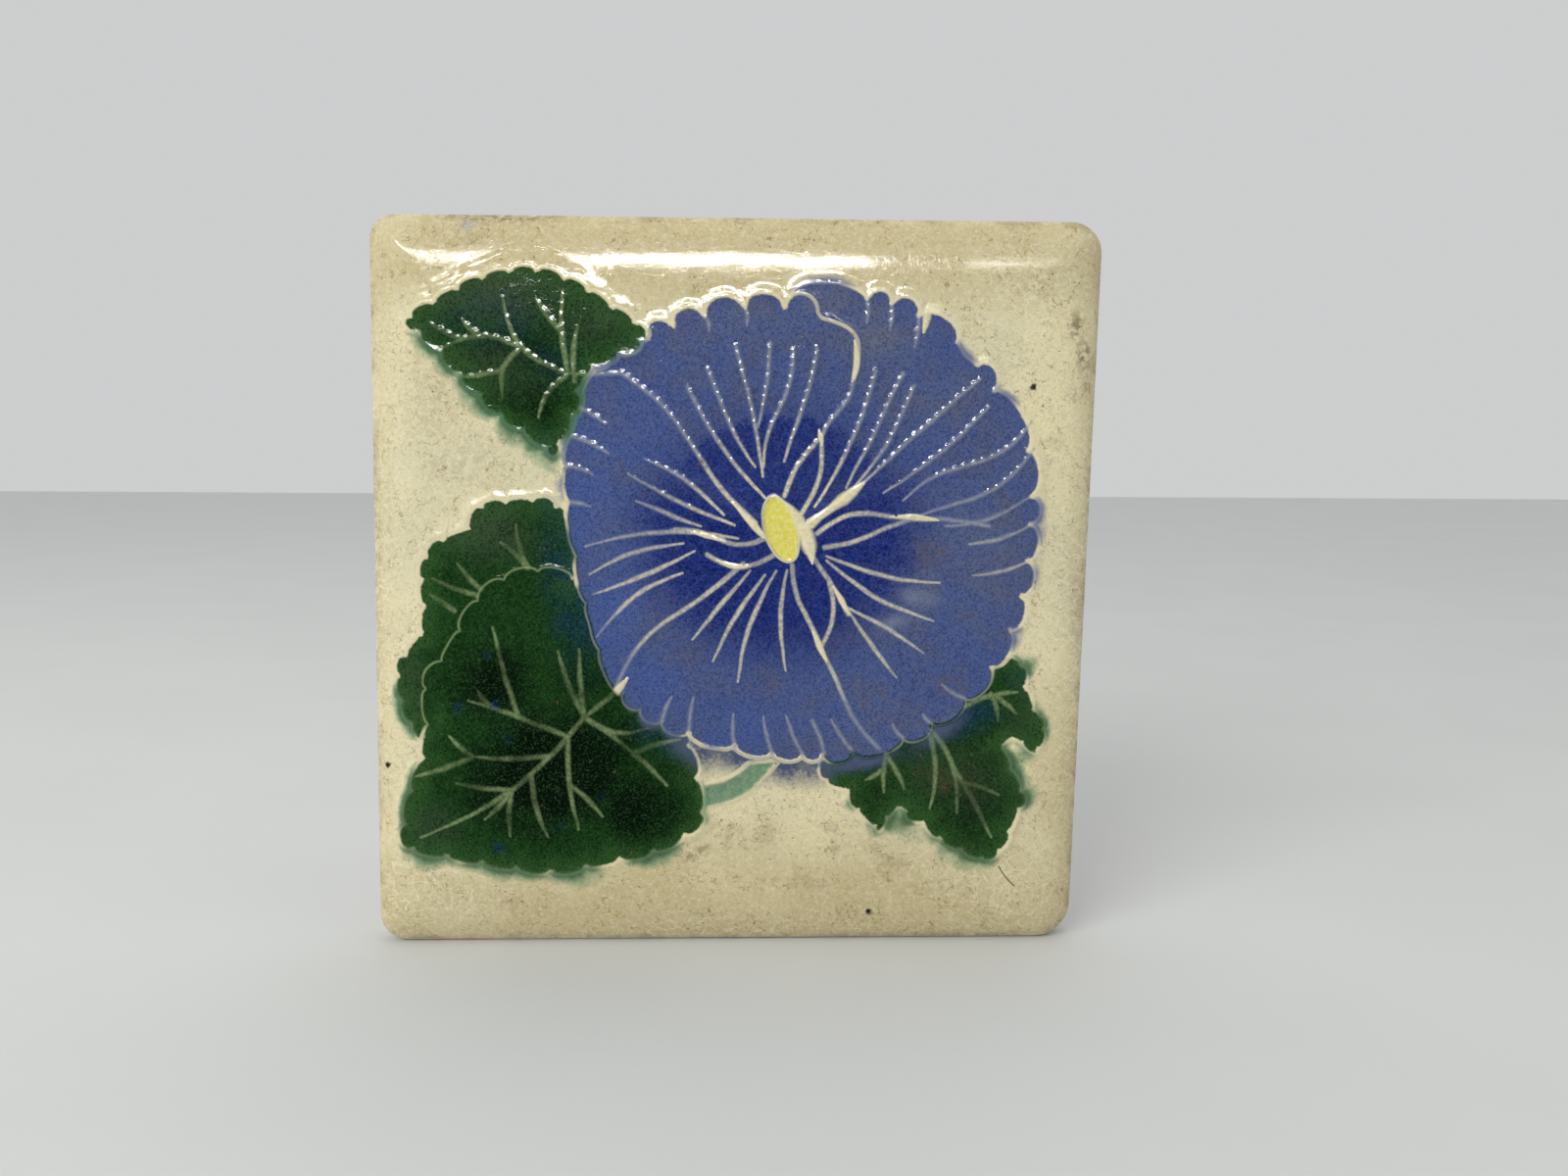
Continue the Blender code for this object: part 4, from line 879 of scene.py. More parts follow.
class Board:
    # The nodes of one tree. A value that is a node or a socket is linked, and any other is set.
    def __init__(self, tree):
        self.tree = tree

    def node(self, kind, *values, **settings):
        made = self.tree.nodes.new(kind)
        made.location = (180 * (len(self.tree.nodes) % 12), -220 * (len(self.tree.nodes) // 12))
        sockets = settings.pop("sockets", {})
        for name, value in settings.items():
            setattr(made, name, value)
        for number, value in list(enumerate(values)) + list(sockets.items()):
            self.put(made.inputs[number], value)
        return made

    def put(self, socket, value):
        if isinstance(value, bpy.types.Node):
            value = value.outputs[0]
        if isinstance(value, bpy.types.NodeSocket):
            self.tree.links.new(value, socket)
        elif value is not None:
            socket.default_value = value

    def math(self, operation, *values, clamp=False):
        return self.node("ShaderNodeMath", *values, operation=operation, use_clamp=clamp).outputs[0]

    def add(self, *values):
        total = values[0]
        for value in values[1:]:
            total = self.math("ADD", total, value)
        return total

    def times(self, *values, clamp=False):
        total = values[0]
        for value in values[1:]:
            total = self.math("MULTIPLY", total, value, clamp=clamp)
        return total

    def scaled(self, value, factor, offset):
        return self.math("MULTIPLY_ADD", value, factor, offset)

    def absolute(self, value):
        return self.math("ABSOLUTE", value)

    def rest(self, share):
        return self.math("SUBTRACT", 1.0, share)

    def most(self, *values):
        total = values[0]
        for value in values[1:]:
            total = self.math("MAXIMUM", total, value)
        return total

    def ramp(self, value, low, high, first=0.0, last=1.0):
        # Goes smoothly from first to last while the value goes from low to high.
        return self.node("ShaderNodeMapRange", value, low, high, first, last,
                         interpolation_type="SMOOTHSTEP").outputs[0]

    def noise(self, place, size, detail=2.0, roughness=0.5, distortion=0.0):
        # Noise whose lumps are about as wide as the size, in the unit of the place.
        return self.node("ShaderNodeTexNoise", sockets={
            "Vector": place, "Scale": 1.0 / size, "Detail": detail, "Roughness": roughness,
            "Distortion": distortion}).outputs[0]

    def mix(self, share, first, second):
        return self.node("ShaderNodeMix", share, data_type="RGBA", sockets={6: first, 7: second}).outputs[2]

    def vectorTimes(self, vector, factor):
        return self.node("ShaderNodeVectorMath", operation="SCALE",
                         sockets={0: vector, "Scale": factor}).outputs[0]

    def millimetres(self):
        # Object coordinates in millimetres.
        return self.vectorTimes(self.node("ShaderNodeTexCoord").outputs["Object"], 1 / mm)

    def scatter(self, place, spacing):
        # The distance to the nearest of scattered points, and a random number that goes with it.
        cells = self.node("ShaderNodeTexVoronoi", sockets={"Vector": place, "Scale": 1 / spacing})
        chance = self.node("ShaderNodeSeparateXYZ", cells.outputs["Color"]).outputs[0]
        return cells.outputs["Distance"], chance

    def bump(self, height, strength, depth):
        return self.node("ShaderNodeBump",
                         sockets={"Strength": strength, "Distance": depth, "Height": height})


relief = {  # inputs of the geometry nodes, in metres where they are lengths
    "Pad Height": 0.14 * mm,
    "Pad Dome": 0.3 * mm,  # how much the petals and leaves swell inside their outlines
    "Pad Dome Width": 11.0,  # in drawn millimetres
    "Outline Height": 0.2 * mm,
    "Bank Fade Start": 25 * mm,  # heights on the tile between which the bank outside an outline gets lower
    "Bank Fade End": 50 * mm,
    "Vein Height": 0.29 * mm,
    "Vein Fade Start": 12 * mm,  # heights on the tile between which veins go from half to full
    "Vein Fade End": 34 * mm,
    "Knob Height": 0.24 * mm,
    "Bead Spacing": 2.0 * mm,
    "Bead Depth": 0.85,  # share of a vein's height
    "Bead Sway": 1.6,
    "Bead Sway Size": 3.0 * mm,
    "Line Unevenness": 0.65,
    "Unevenness Size": 2.4 * mm,
    "Glaze Wave": 0.05 * mm,
    "Glaze Wave Size": 12.0 * mm,
    "Glaze Ripple": 0.012 * mm,
    "Glaze Ripple Size": 3.2 * mm,
    "Back Roughness": 0.12 * mm,
    "Back Lump Size": 5.0 * mm,
    "Seed": 7.0,
}


def raisedDrawingTree():
    # Lifts the face over the pads and along the paths, as rounded lines under glaze.
    tree = bpy.data.node_groups.new("raisedDrawing", "GeometryNodeTree")
    sockets = tree.interface
    sockets.new_socket("Geometry", in_out="OUTPUT", socket_type="NodeSocketGeometry")
    sockets.new_socket("Geometry", in_out="INPUT", socket_type="NodeSocketGeometry")
    for name in ("Outline Paths", "Vein Paths", "Knob Paths"):
        sockets.new_socket(name, in_out="INPUT", socket_type="NodeSocketObject")
    for name in relief:
        sockets.new_socket(name, in_out="INPUT", socket_type="NodeSocketFloat")
    for name in ("Glaze", "Bare Clay"):
        sockets.new_socket(name, in_out="INPUT", socket_type="NodeSocketMaterial")
    board = Board(tree)
    given = board.node("NodeGroupInput").outputs
    place = board.node("GeometryNodeInputPosition").outputs[0]
    x, y, z = board.node("ShaderNodeSeparateXYZ", place).outputs
    flat = board.node("ShaderNodeCombineXYZ", x, 0.0, z).outputs[0]
    seeded = board.node("ShaderNodeVectorMath", place, operation="ADD").outputs[0]
    shift = board.times(given["Seed"], 0.37)
    board.put(seeded.node.inputs[1], board.node("ShaderNodeCombineXYZ", shift, shift, shift))

    def attribute(name):
        return board.node("GeometryNodeInputNamedAttribute", name, data_type="FLOAT").outputs[0]

    def noise(size, detail=2.0):
        # Noise that mostly stays between -1 and 1. Its size is an input of the tree.
        made = board.node("ShaderNodeTexNoise", sockets={
            "Vector": seeded, "Scale": board.math("DIVIDE", 1.0, size), "Detail": detail})
        return board.scaled(made.outputs[0], 4.0, -2.0)

    def pathField(paths):
        # Distance to the nearest line over its own reach, with that line's share of height and station.
        shape = board.node("GeometryNodeObjectInfo", paths).outputs["Geometry"]
        away = board.node("GeometryNodeProximity", shape, None, flat, target_element="EDGES")
        nearest = board.node("GeometryNodeSampleNearest", shape, flat, domain="POINT")
        reach, share, station = (
            board.node("GeometryNodeSampleIndex", shape, attribute(name), nearest, data_type="FLOAT",
                       domain="POINT").outputs[0]
            for name in ("reach", "share", "station")
        )
        reach = board.math("MAXIMUM", board.times(reach, mm), 0.05 * mm)
        ratio = board.math("DIVIDE", away.outputs["Distance"], reach)
        return board.math("MINIMUM", ratio, 4.0), share, station

    def rounded(ratio):
        # Full height on the line, nothing at its foot, rounded at both.
        return board.ramp(ratio, 0.0, 1.0, 1.0, 0.0)

    outline, outlineShare, _ = pathField(given["Outline Paths"])
    vein, veinShare, station = pathField(given["Vein Paths"])
    knob, _, _ = pathField(given["Knob Paths"])
    outer = attribute("outerShare")

    # Lines: veins with beads like drops of glaze, knobs and outlines, all a little uneven
    uneven = board.scaled(board.times(noise(given["Unevenness Size"]), given["Line Unevenness"]), 0.5, 1.0)
    pitch = board.math("DIVIDE", board.times(station, mm), given["Bead Spacing"])
    sway = board.times(noise(given["Bead Sway Size"]), given["Bead Sway"])
    wave = board.math("SINE", board.scaled(pitch, 2 * math.pi, sway))
    bead = board.scaled(board.scaled(wave, 0.5, -0.5), given["Bead Depth"], 1.0)
    upTile = board.ramp(z, given["Vein Fade Start"], given["Vein Fade End"])
    veinRise = board.times(rounded(vein), veinShare, bead, given["Vein Height"], uneven,
                           board.scaled(upTile, 0.5, 0.5))
    knobRise = board.times(rounded(knob), given["Knob Height"], uneven)
    crestRise = board.times(given["Outline Height"], uneven)
    outlineRise = board.times(rounded(outline), outlineShare, crestRise)
    lines = board.most(outlineRise, veinRise, knobRise)

    # Domed pads inside the outlines, and outside them a bank of glaze down to the ground
    dome = board.times(board.ramp(attribute("padDepth"), 0.0, given["Pad Dome Width"]), given["Pad Dome"])
    inner = board.add(given["Pad Height"], lines, dome)
    full = board.times(board.add(given["Pad Height"], crestRise),
                       board.ramp(z, given["Bank Fade Start"], given["Bank Fade End"], 1.05, 0.85))
    bank = board.times(board.scaled(board.math("COSINE", board.times(outer, math.pi)), 0.5, 0.5), full)
    onPad = board.math("LESS_THAN", outer, 1e-4)
    rise = board.add(board.times(onPad, inner), board.times(board.rest(onPad), board.most(bank, lines)))

    # Waves of the whole glaze, and a rougher back
    share = attribute("faceShare")
    rise = board.times(rise, share)
    rise = board.add(rise, board.times(noise(given["Glaze Wave Size"]), given["Glaze Wave"], share))
    rise = board.add(rise, board.times(noise(given["Glaze Ripple Size"]), given["Glaze Ripple"], share))
    isBack = board.math("GREATER_THAN", y, -0.05 * mm)
    sunk = board.times(isBack, given["Back Roughness"],
                       board.absolute(noise(given["Back Lump Size"], 4.0)), -1.0)
    offset = board.node("ShaderNodeCombineXYZ", 0.0, board.math("SUBTRACT", sunk, rise), 0.0)
    skin = board.node("GeometryNodeSetPosition", given["Geometry"], None, None, offset)
    for name, value in (("veinLine", vein), ("outlineLine", outline), ("knobLine", knob)):
        skin = board.node("GeometryNodeStoreNamedAttribute", skin, None, name, value,
                          data_type="FLOAT", domain="POINT")
    skin = board.node("GeometryNodeSetShadeSmooth", skin)
    skin = board.node("GeometryNodeRealizeInstances", skin)
    skin = board.node("GeometryNodeSetMaterial", skin, None, given["Glaze"])
    clay = board.math("GREATER_THAN", attribute("bare"), 0.5)
    skin = board.node("GeometryNodeSetMaterial", skin, clay, given["Bare Clay"])
    board.node("NodeGroupOutput", skin)
    return tree


def plainMesh(blank, name):
    # The evaluated result of an object's geometry nodes as a plain mesh in a new object.
    depsgraph = bpy.context.evaluated_depsgraph_get()
    mesh = bpy.data.meshes.new_from_object(
        blank.evaluated_get(depsgraph), preserve_all_data_layers=True, depsgraph=depsgraph)
    mesh.name = name
    return helperObject(name, mesh)


def colour(red, green, blue):
    # A colour in everyday 0 to 255 values, as the linear one that nodes take.
    def linear(c):
        c /= 255
        return c / 12.92 if c <= 0.04045 else ((c + 0.055) / 1.055) ** 2.4
    return (linear(red), linear(green), linear(blue), 1.0)


def newMaterial(name):
    material = bpy.data.materials.new(name)
    material.use_nodes = True
    return material, Board(material.node_tree), material.node_tree.nodes["Principled BSDF"]


glaze = {
    "cream": colour(236, 226, 184),
    "creamPale": colour(240, 234, 208),
    "greyCream": colour(218, 212, 178),
    "tan": colour(200, 186, 142),
    "crackleDark": colour(132, 110, 74),
    "speck": colour(104, 84, 52),
    # Grime colours dirt, and also a painted shadow line down the left edge.
    "grimeAndShade": colour(112, 92, 62),
    "teal": colour(74, 122, 98),
    "tealPale": colour(114, 152, 122),
    "greenThin": colour(82, 138, 102),
    "leafMargin": colour(52, 90, 44),
    "leaf": colour(26, 62, 24),
    "leafDark": colour(2, 16, 5),
    "leafSmoke": colour(70, 84, 66),
    "leafBlue": colour(18, 54, 98),
    "leafDust": colour(120, 122, 92),
    "leafCrest": colour(150, 172, 122),
    "blue": colour(74, 91, 144),
    "bluePale": colour(106, 112, 130),
    "blueGrey": colour(90, 94, 114),
    "blueFleck": colour(34, 45, 92),
    "blueBright": colour(68, 94, 164),
    "cobalt": colour(34, 54, 130),
    "cobaltFleck": colour(12, 22, 86),
    "blueThin": colour(122, 130, 158),
    "blueRun": colour(146, 156, 178),
    "wash": colour(80, 90, 118),
    "crest": colour(228, 220, 182),
    "throat": colour(240, 230, 188),
    "veinGrey": colour(154, 160, 164),
    "yellow": colour(226, 214, 84),
    "yellowPale": colour(234, 228, 150),
    "pinhole": colour(26, 20, 16),
    "crackleSize": 1.5,  # in millimetres, as the sizes below
    "crackleWidth": 0.075,  # share of a cell
    "crackleSway": 2.4,
    "crackleBends": 0.7,  # per millimetre
    "crackleDarkness": 0.85,
    "wideCrackle": 1.9,  # times as large as the fine one
    "wideWidth": 0.06,
    "wideStretch": (0.72, 1.0, 1.3),
    "crazedShare": (0.25, 1.0),  # how much of the wide crackle shows on plain glaze, and where it is crazed
    "paleCrackle": 0.75,
    "speckSpacing": 1.7,
    "speckShare": 0.7,
    "rimTan": 7.0,  # the rim is tan this far in
    "rimGrime": 2.6,
    "greenDepth": (2.0, 8.5),  # about 2.5 more than the depths inside the outline where the greens get full
    "cobaltReach": (33.0, 19.0),  # distances from the eye between which the cobalt comes up
    "cobaltReachAbove": (25.0, 22.0),  # the same above the eye
    "veinGreyReach": (9.0, 30.0),  # distances from the eye between which the petals' veins turn grey
    "veinGreyReachBelow": (32.0, 41.0),  # the same below the eye, for what is left
    "dimReachBelow": (20.0, 9.0),  # veins below the eye are weaker near it
    "washReach": (7.5, 0.5),  # distances from the flower between which the wash comes up
    "broadSize": 26.0,  # patches of tone, from the largest to the finest
    "patchSize": 6.0,
    "grainSize": 1.3,
    "mottleSize": 0.8,
    "fleckSize": 0.46,
    "fineSize": 0.42,
    "hairStart": (57.0, -59.0),  # a single hair under the glaze
    "hairTurn": -51.5,
    "hairLength": 6.2,
    "hairBow": 0.3,
    "hairEdge": (0.24, 0.1),  # distances from its middle line between which it comes up
    "roughness": 0.06,
    "ior": 1.5,
    "specular": 0.22,
    "bumpStrength": 0.35,
    "bumpDepth": 0.03 * mm,
    "bumps": {"crackle": -0.25, "wide": -0.5, "fine": 0.35, "mottle": 0.5, "hole": -2.5, "speck": 0.5},
}


def glazedClay():
    material, board, shader = newMaterial("glazedClay")
    add, times, most, ramp = board.add, board.times, board.most, board.ramp
    mix, noise, scaled = board.mix, board.noise, board.scaled
    place = board.millimetres()

    def value(name):
        return board.node("ShaderNodeAttribute", attribute_name=name).outputs["Fac"]

    broad = noise(place, glaze["broadSize"], 3.0)
    patch = noise(place, glaze["patchSize"], 4.0, 0.6)
    grain = noise(place, glaze["grainSize"], 3.0, 0.6)
    mottle = noise(place, glaze["mottleSize"], 4.0, 0.75)
    fleck = noise(place, glaze["fleckSize"], 3.0, 0.75)
    fine = noise(place, glaze["fineSize"], 2.0)
    flower, leaf, frontLeaf = value("flowerGap"), value("leafGap"), value("frontLeafGap")
    nearest = board.math("MINIMUM", flower, board.math("MINIMUM", leaf, frontLeaf))

    # Fine crackle, bent so that its cells are uneven
    sway = board.node("ShaderNodeTexNoise", sockets={"Vector": place, "Scale": glaze["crackleBends"]})
    sway = board.vectorTimes(sway.outputs["Color"], glaze["crackleSway"])
    bent = board.node("ShaderNodeVectorMath", operation="ADD", sockets={0: place, 1: sway}).outputs[0]
    flat = board.node("ShaderNodeVectorMath", operation="MULTIPLY",
                      sockets={0: bent, 1: glaze["wideStretch"]}).outputs[0]

    def cracks(where, size, width):
        cell = board.node("ShaderNodeTexVoronoi", feature="DISTANCE_TO_EDGE",
                          sockets={"Vector": where, "Scale": 1 / size}).outputs["Distance"]
        return ramp(cell, width, 0.0)

    crackle = cracks(bent, glaze["crackleSize"], glaze["crackleWidth"])
    wide = cracks(flat, glaze["crackleSize"] * glaze["wideCrackle"], glaze["wideWidth"])
    dotted = ramp(noise(place, 1.1, 1.0), 0.42, 0.54)
    darkHairs = times(crackle, dotted, ramp(patch, 0.35, 0.65, 0.2, 1.0))
    least, full = glaze["crazedShare"]
    paleHairs = most(times(wide, scaled(value("crazed"), full - least, least), clamp=True),
                     times(crackle, 0.6, ramp(noise(place, 1.7, 1.0), 0.42, 0.6)))

    def coated(skin, *coats):
        # Lays coats of glaze over what is there: the name of each and its share.
        for name, share in coats:
            skin = mix(share, skin, glaze[name])
        return skin

    # Cream ground, warmer and duller in places, and turned tan by painted shade towards the top, the bottom
    # and the lower right
    tanAndShade = add(ramp(value("rimGap"), 0.5, glaze["rimTan"], 0.6, 0.0), ramp(patch, 0.5, 0.75, 0.0, 0.35),
               value("paintedShade"))
    ground = coated(
        glaze["cream"],
        ("greyCream", ramp(broad, 0.35, 0.68)),
        # This tan coat is partly painted shade, from the marks at the top, the bottom and the lower right.
        ("tan", times(tanAndShade, ramp(broad, 0.25, 0.6, 0.55, 1.0), clamp=True)),
        ("tan", ramp(fine, 0.42, 0.72, 0.0, 0.5)),
        ("creamPale", ramp(mottle, 0.55, 0.3, 0.0, 0.3)),
        ("crackleDark", times(darkHairs, glaze["crackleDarkness"])),
        ("creamPale", times(paleHairs, glaze["paleCrackle"])),
    )

    # Turquoise stem
    stem = add(value("stemGap"), scaled(patch, 3.0, -1.5))
    teal = coated(glaze["teal"], ("tealPale", ramp(mottle, 0.35, 0.65)))
    skin = mix(ramp(stem, 0.4, -1.0, 0.0, 0.9), ground, teal)
    stemEdge = ramp(board.absolute(board.math("SUBTRACT", value("stemGap"), 0.25)), 0.6, 0.3, 0.0, 0.8)

    def fill(skin, gap, tone, thin, bleed):
        # Lays a glaze inside its outline. Where it bleeds it thins out past the line.
        ragged = add(gap, scaled(mottle, 0.9, -0.45))
        bleed = times(bleed, ramp(patch, 0.32, 0.66, 0.55, 1.5))
        run = board.math("DIVIDE", ragged, scaled(bleed, 3.2, 0.05))
        spread = times(ramp(run, -0.1, 1.0, 1.0, 0.0), ramp(bleed, 0.02, 0.3),
                       ramp(mottle, 0.25, 0.6, 0.75, 1.0))
        skin = mix(times(spread, ramp(leaf, -1.0, 1.0, 0.45, 1.0)), skin, thin)
        strong = times(ramp(run, 0.0, 0.4, 0.7, 0.0), ramp(bleed, 0.1, 0.6))
        skin = mix(strong, skin, tone)
        crisp = scaled(bleed, 0.9, -0.35)
        inner = board.math("DIVIDE", board.math("SUBTRACT", crisp, ragged), scaled(bleed, 1.2, 0.4))
        return mix(ramp(inner, 0.0, 1.0), skin, tone)

    # Greens: brighter where the glaze is thin at the margin, near black where it pooled
    def green(gap):
        deep = add(times(gap, -1.0), times(patch, 5.0))
        dark = add(value("leafDark"), scaled(patch, 1.2, -0.6), scaled(mottle, 1.0, -0.5))
        return coated(
            glaze["leafMargin"],
            ("leaf", ramp(deep, *glaze["greenDepth"])),
            ("leafDark", ramp(dark, -0.1, 1.15)),
            ("leafSmoke", times(value("leafPale"), ramp(mottle, 0.3, 0.7, 0.3, 0.7))),
            ("leafBlue", times(value("blueTint"), ramp(patch, 0.35, 0.65, 0.3, 1.0), 0.8, clamp=True)),
            ("leafMargin", ramp(fleck, 0.52, 0.68, 0.0, 0.6)),
            ("leafDark", ramp(fleck, 0.52, 0.36, 0.0, 0.75)),
            ("leafDust", times(ramp(fine, 0.62, 0.74, 0.0, 0.4), ramp(grain, 0.45, 0.62))),
        )

    skin = fill(skin, leaf, green(leaf), glaze["greenThin"], value("greenBleed"))

    # Blues: flecked all over, greyer under its haze, and cobalt round the eye
    reach = add(value("eyeReach"), scaled(patch, 6.0, -3.0), scaled(mottle, 7.0, -3.5))
    above = ramp(value("upward"), 0.2, 0.7)
    inward = times(ramp(reach, *glaze["cobaltReach"], 0.0, 0.96), scaled(above, -0.6, 1.0))
    inward = most(inward, times(ramp(reach, *glaze["cobaltReachAbove"], 0.0, 0.85), above))
    blue = coated(
        glaze["blue"],
        ("blueGrey", ramp(patch, 0.4, 0.7, 0.0, 0.6)),
        ("blueBright", times(value("bright"), ramp(mottle, 0.3, 0.7, 0.4, 0.9))),
        ("bluePale", times(value("haze"), ramp(patch, 0.3, 0.7, 0.5, 1.0), 0.8, clamp=True)),
        ("blueFleck", ramp(mottle, 0.52, 0.68, 0.0, 0.35)),
        ("blueFleck", ramp(fleck, 0.48, 0.64, 0.0, 0.62)),
        ("bluePale", ramp(fleck, 0.48, 0.36, 0.0, 0.4)),
    )
    cobalt = coated(glaze["cobalt"], ("cobaltFleck", ramp(fleck, 0.4, 0.62)))
    skin = fill(skin, flower, mix(inward, blue, cobalt), glaze["blueThin"], value("blueBleed"))
    skin = fill(skin, frontLeaf, green(frontLeaf), glaze["greenThin"], value("greenBleed"))

    # A thin grey blue wash that ran out from under the flower
    wash = times(board.math("MINIMUM", value("wash"), 1.0), ramp(flower, *glaze["washReach"]),
                 ramp(flower, 0.1, 0.5), ramp(stem, -0.4, 0.3), ramp(mottle, 0.3, 0.65, 0.75, 1.25),
                 ramp(patch, 0.3, 0.6, 0.85, 1.1), clamp=True)
    skin = coated(skin, ("wash", wash))

    # Crests, where the glaze drew off the raised lines
    onLeaf = most(ramp(frontLeaf, 0.3, -0.3), times(ramp(leaf, 0.3, -0.3), ramp(flower, -0.4, 0.4)))
    onPetal = board.rest(onLeaf)
    drawnOff = scaled(patch, 0.3, -0.15)
    veinLine = add(value("veinLine"), drawnOff, scaled(mottle, 0.2, -0.1))
    fade = ramp(noise(place, 8.0, 2.0), 0.35, 0.62, 0.25, 0.9)
    broken = ramp(mottle, 0.62, 0.4, 0.5, 1.0)

    # Veins of the petals, cream near the eye and grey further out, and sooner grey above it than below
    below = ramp(value("upward"), 0.1, -0.35)
    outward = times(ramp(value("eyeReach"), *glaze["veinGreyReach"]), scaled(below, -0.7, 1.0))
    outward = most(outward, times(below, ramp(value("eyeReach"), *glaze["veinGreyReachBelow"])))
    dim = scaled(times(below, ramp(value("eyeReach"), *glaze["dimReachBelow"])), -0.45, 1.0)
    petalTone = mix(outward, glaze["crest"], glaze["veinGrey"])
    petalLine = scaled(outward, 0.14, veinLine)
    petalCrest = times(ramp(petalLine, 0.62, 0.18), scaled(outward, -0.22, 0.96), broken, dim)
    flank = times(ramp(veinLine, 0.8, 0.35, 0.0, 0.4), onPetal)
    skin = coated(skin, ("blueThin", times(flank, ramp(flower, 0.2, -0.5))))
    skin = mix(times(petalCrest, onPetal), skin, petalTone)
    throat = times(ramp(add(value("knobLine"), drawnOff), 1.0, 0.4), ramp(mottle, 0.66, 0.4, 0.8, 1.0))
    skin = mix(times(throat, onPetal), skin, mix(outward, glaze["throat"], glaze["crest"]))

    # Veins of the leaves
    leafCrest = times(ramp(veinLine, 0.8, 0.1, 0.0, 0.72), fade, broken)
    skin = coated(skin, ("leafCrest", times(leafCrest, onLeaf)))

    # Outlines, weaker where glaze bled over them, and darker between two glazes or in the wash
    bled = times(ramp(value("greenBleed"), 0.1, 0.6, 1.0, 0.4), ramp(value("blueBleed"), 0.1, 0.7, 1.0, 0.5))
    overLeaf = ramp(board.math("MINIMUM", leaf, frontLeaf), -1.2, -2.8)
    besideLeaf = times(ramp(board.absolute(frontLeaf), 1.6, 0.8), ramp(nearest, -1.0, -2.0))
    between = most(overLeaf, besideLeaf)
    washed = times(value("wash"), ramp(flower, 1.5, 0.8), clamp=True)
    edgeLine = add(value("outlineLine"), drawnOff, times(between, 0.15), times(washed, 0.14))
    edgeCrest = times(ramp(edgeLine, 0.5, 0.15), ramp(nearest, 0.4, 0.0), bled, scaled(fade, 0.5, 0.4),
                      scaled(between, -0.3, 1.0))
    edgeTone = coated(
        glaze["crest"],
        ("tealPale", times(value("greenBleed"), 1.5, clamp=True)),
        ("veinGrey", ramp(value("blueBleed"), 0.1, 0.6, 0.0, 0.8)),
        ("veinGrey", times(washed, 0.95)),
    )
    shared = mix(ramp(board.absolute(flower), 1.2, 0.6), glaze["leafCrest"], glaze["veinGrey"])
    skin = mix(edgeCrest, skin, mix(between, edgeTone, shared))
    skin = coated(skin, ("crest", times(stemEdge, ramp(nearest, 0.2, 0.6), fade)))

    # Yellow eye
    yellow = coated(glaze["yellow"], ("yellowPale", ramp(mottle, 0.4, 0.68)))
    eye = add(value("eyeGap"), scaled(grain, 0.6, -0.3))
    skin = mix(ramp(eye, 0.1, -0.5), skin, yellow)

    def hairLine():
        # A single hair under the glaze, low on the right.
        x, _, z = board.node("ShaderNodeSeparateXYZ", place).outputs
        (startX, startZ), turn = glaze["hairStart"], math.radians(glaze["hairTurn"])
        c, s, half = math.cos(turn), math.sin(turn), glaze["hairLength"] / 2
        dx, dz = board.math("SUBTRACT", x, startX), board.math("SUBTRACT", z, startZ)
        run = add(times(dx, c), times(dz, s))
        bow = times(board.math("SINE", times(run, math.pi / 2 / half)), glaze["hairBow"])
        off = board.absolute(add(times(dx, -s), times(dz, c), bow))
        end = board.absolute(board.math("SUBTRACT", run, half))
        return times(ramp(off, *glaze["hairEdge"]), ramp(end, half, half - 0.3))

    # Faint crackle over the colours, specks, dirt with a painted shadow line down the left edge, and pinholes
    coloured = ramp(nearest, 0.5, -0.5)
    onBlue = ramp(flower, 0.5, -0.5, 0.03, 0.26)
    grit = value("grit")
    away, chance = board.scatter(bent, glaze["speckSpacing"])
    chosen = ramp(board.math("SUBTRACT", chance, scaled(grit, 0.4, 0.08)), 0.02, -0.02)
    speck = times(ramp(away, 0.2, 0.08), chosen, glaze["speckShare"])
    # The stain marks hold a painted shadow line down the left edge as well as dirt.
    dirtAndShade = times(value("stainAndShade"), ramp(noise(place, 1.6, 4.0, 0.7), 0.38, 0.62), 0.75, clamp=True)
    dirtAndShade = most(dirtAndShade, times(grit, ramp(patch, 0.5, 0.7), 0.3),
                times(ramp(value("rimGap"), glaze["rimGrime"], 0.0), ramp(patch, 0.42, 0.62), 0.38))
    hole = ramp(value("hole"), 0.1, 0.45)
    skin = coated(
        skin,
        ("blueThin", times(paleHairs, coloured, onBlue)),
        ("speck", speck),
        ("grimeAndShade", dirtAndShade),
        ("blueRun", times(value("smudge"), ramp(mottle, 0.3, 0.7, 0.45, 0.85))),
        ("speck", times(hairLine(), 0.85)),
        ("pinhole", hole),
    )

    board.put(shader.inputs["Base Color"], skin)
    rough = add(glaze["roughness"], times(dirtAndShade, 0.35), times(hole, 0.5), ramp(fine, 0.3, 0.8, 0.0, 0.06))
    board.put(shader.inputs["Roughness"], rough)
    shader.inputs["IOR"].default_value = glaze["ior"]
    shader.inputs["Specular IOR Level"].default_value = glaze["specular"]
    forms = {"crackle": crackle, "wide": wide, "fine": fine, "mottle": mottle, "hole": hole, "speck": speck}
    height = add(*(times(forms[name], share) for name, share in glaze["bumps"].items()))
    board.put(shader.inputs["Normal"], board.bump(height, glaze["bumpStrength"], glaze["bumpDepth"]))
    return material


biscuit = {
    "clay": colour(214, 196, 160),
    "shade": colour(190, 166, 128),
    "grog": colour(150, 118, 84),
    "dust": colour(224, 214, 190),
    "grogSpacing": 2.4,
    "bumpStrength": 0.6,
    "bumpDepth": 0.12 * mm,
}


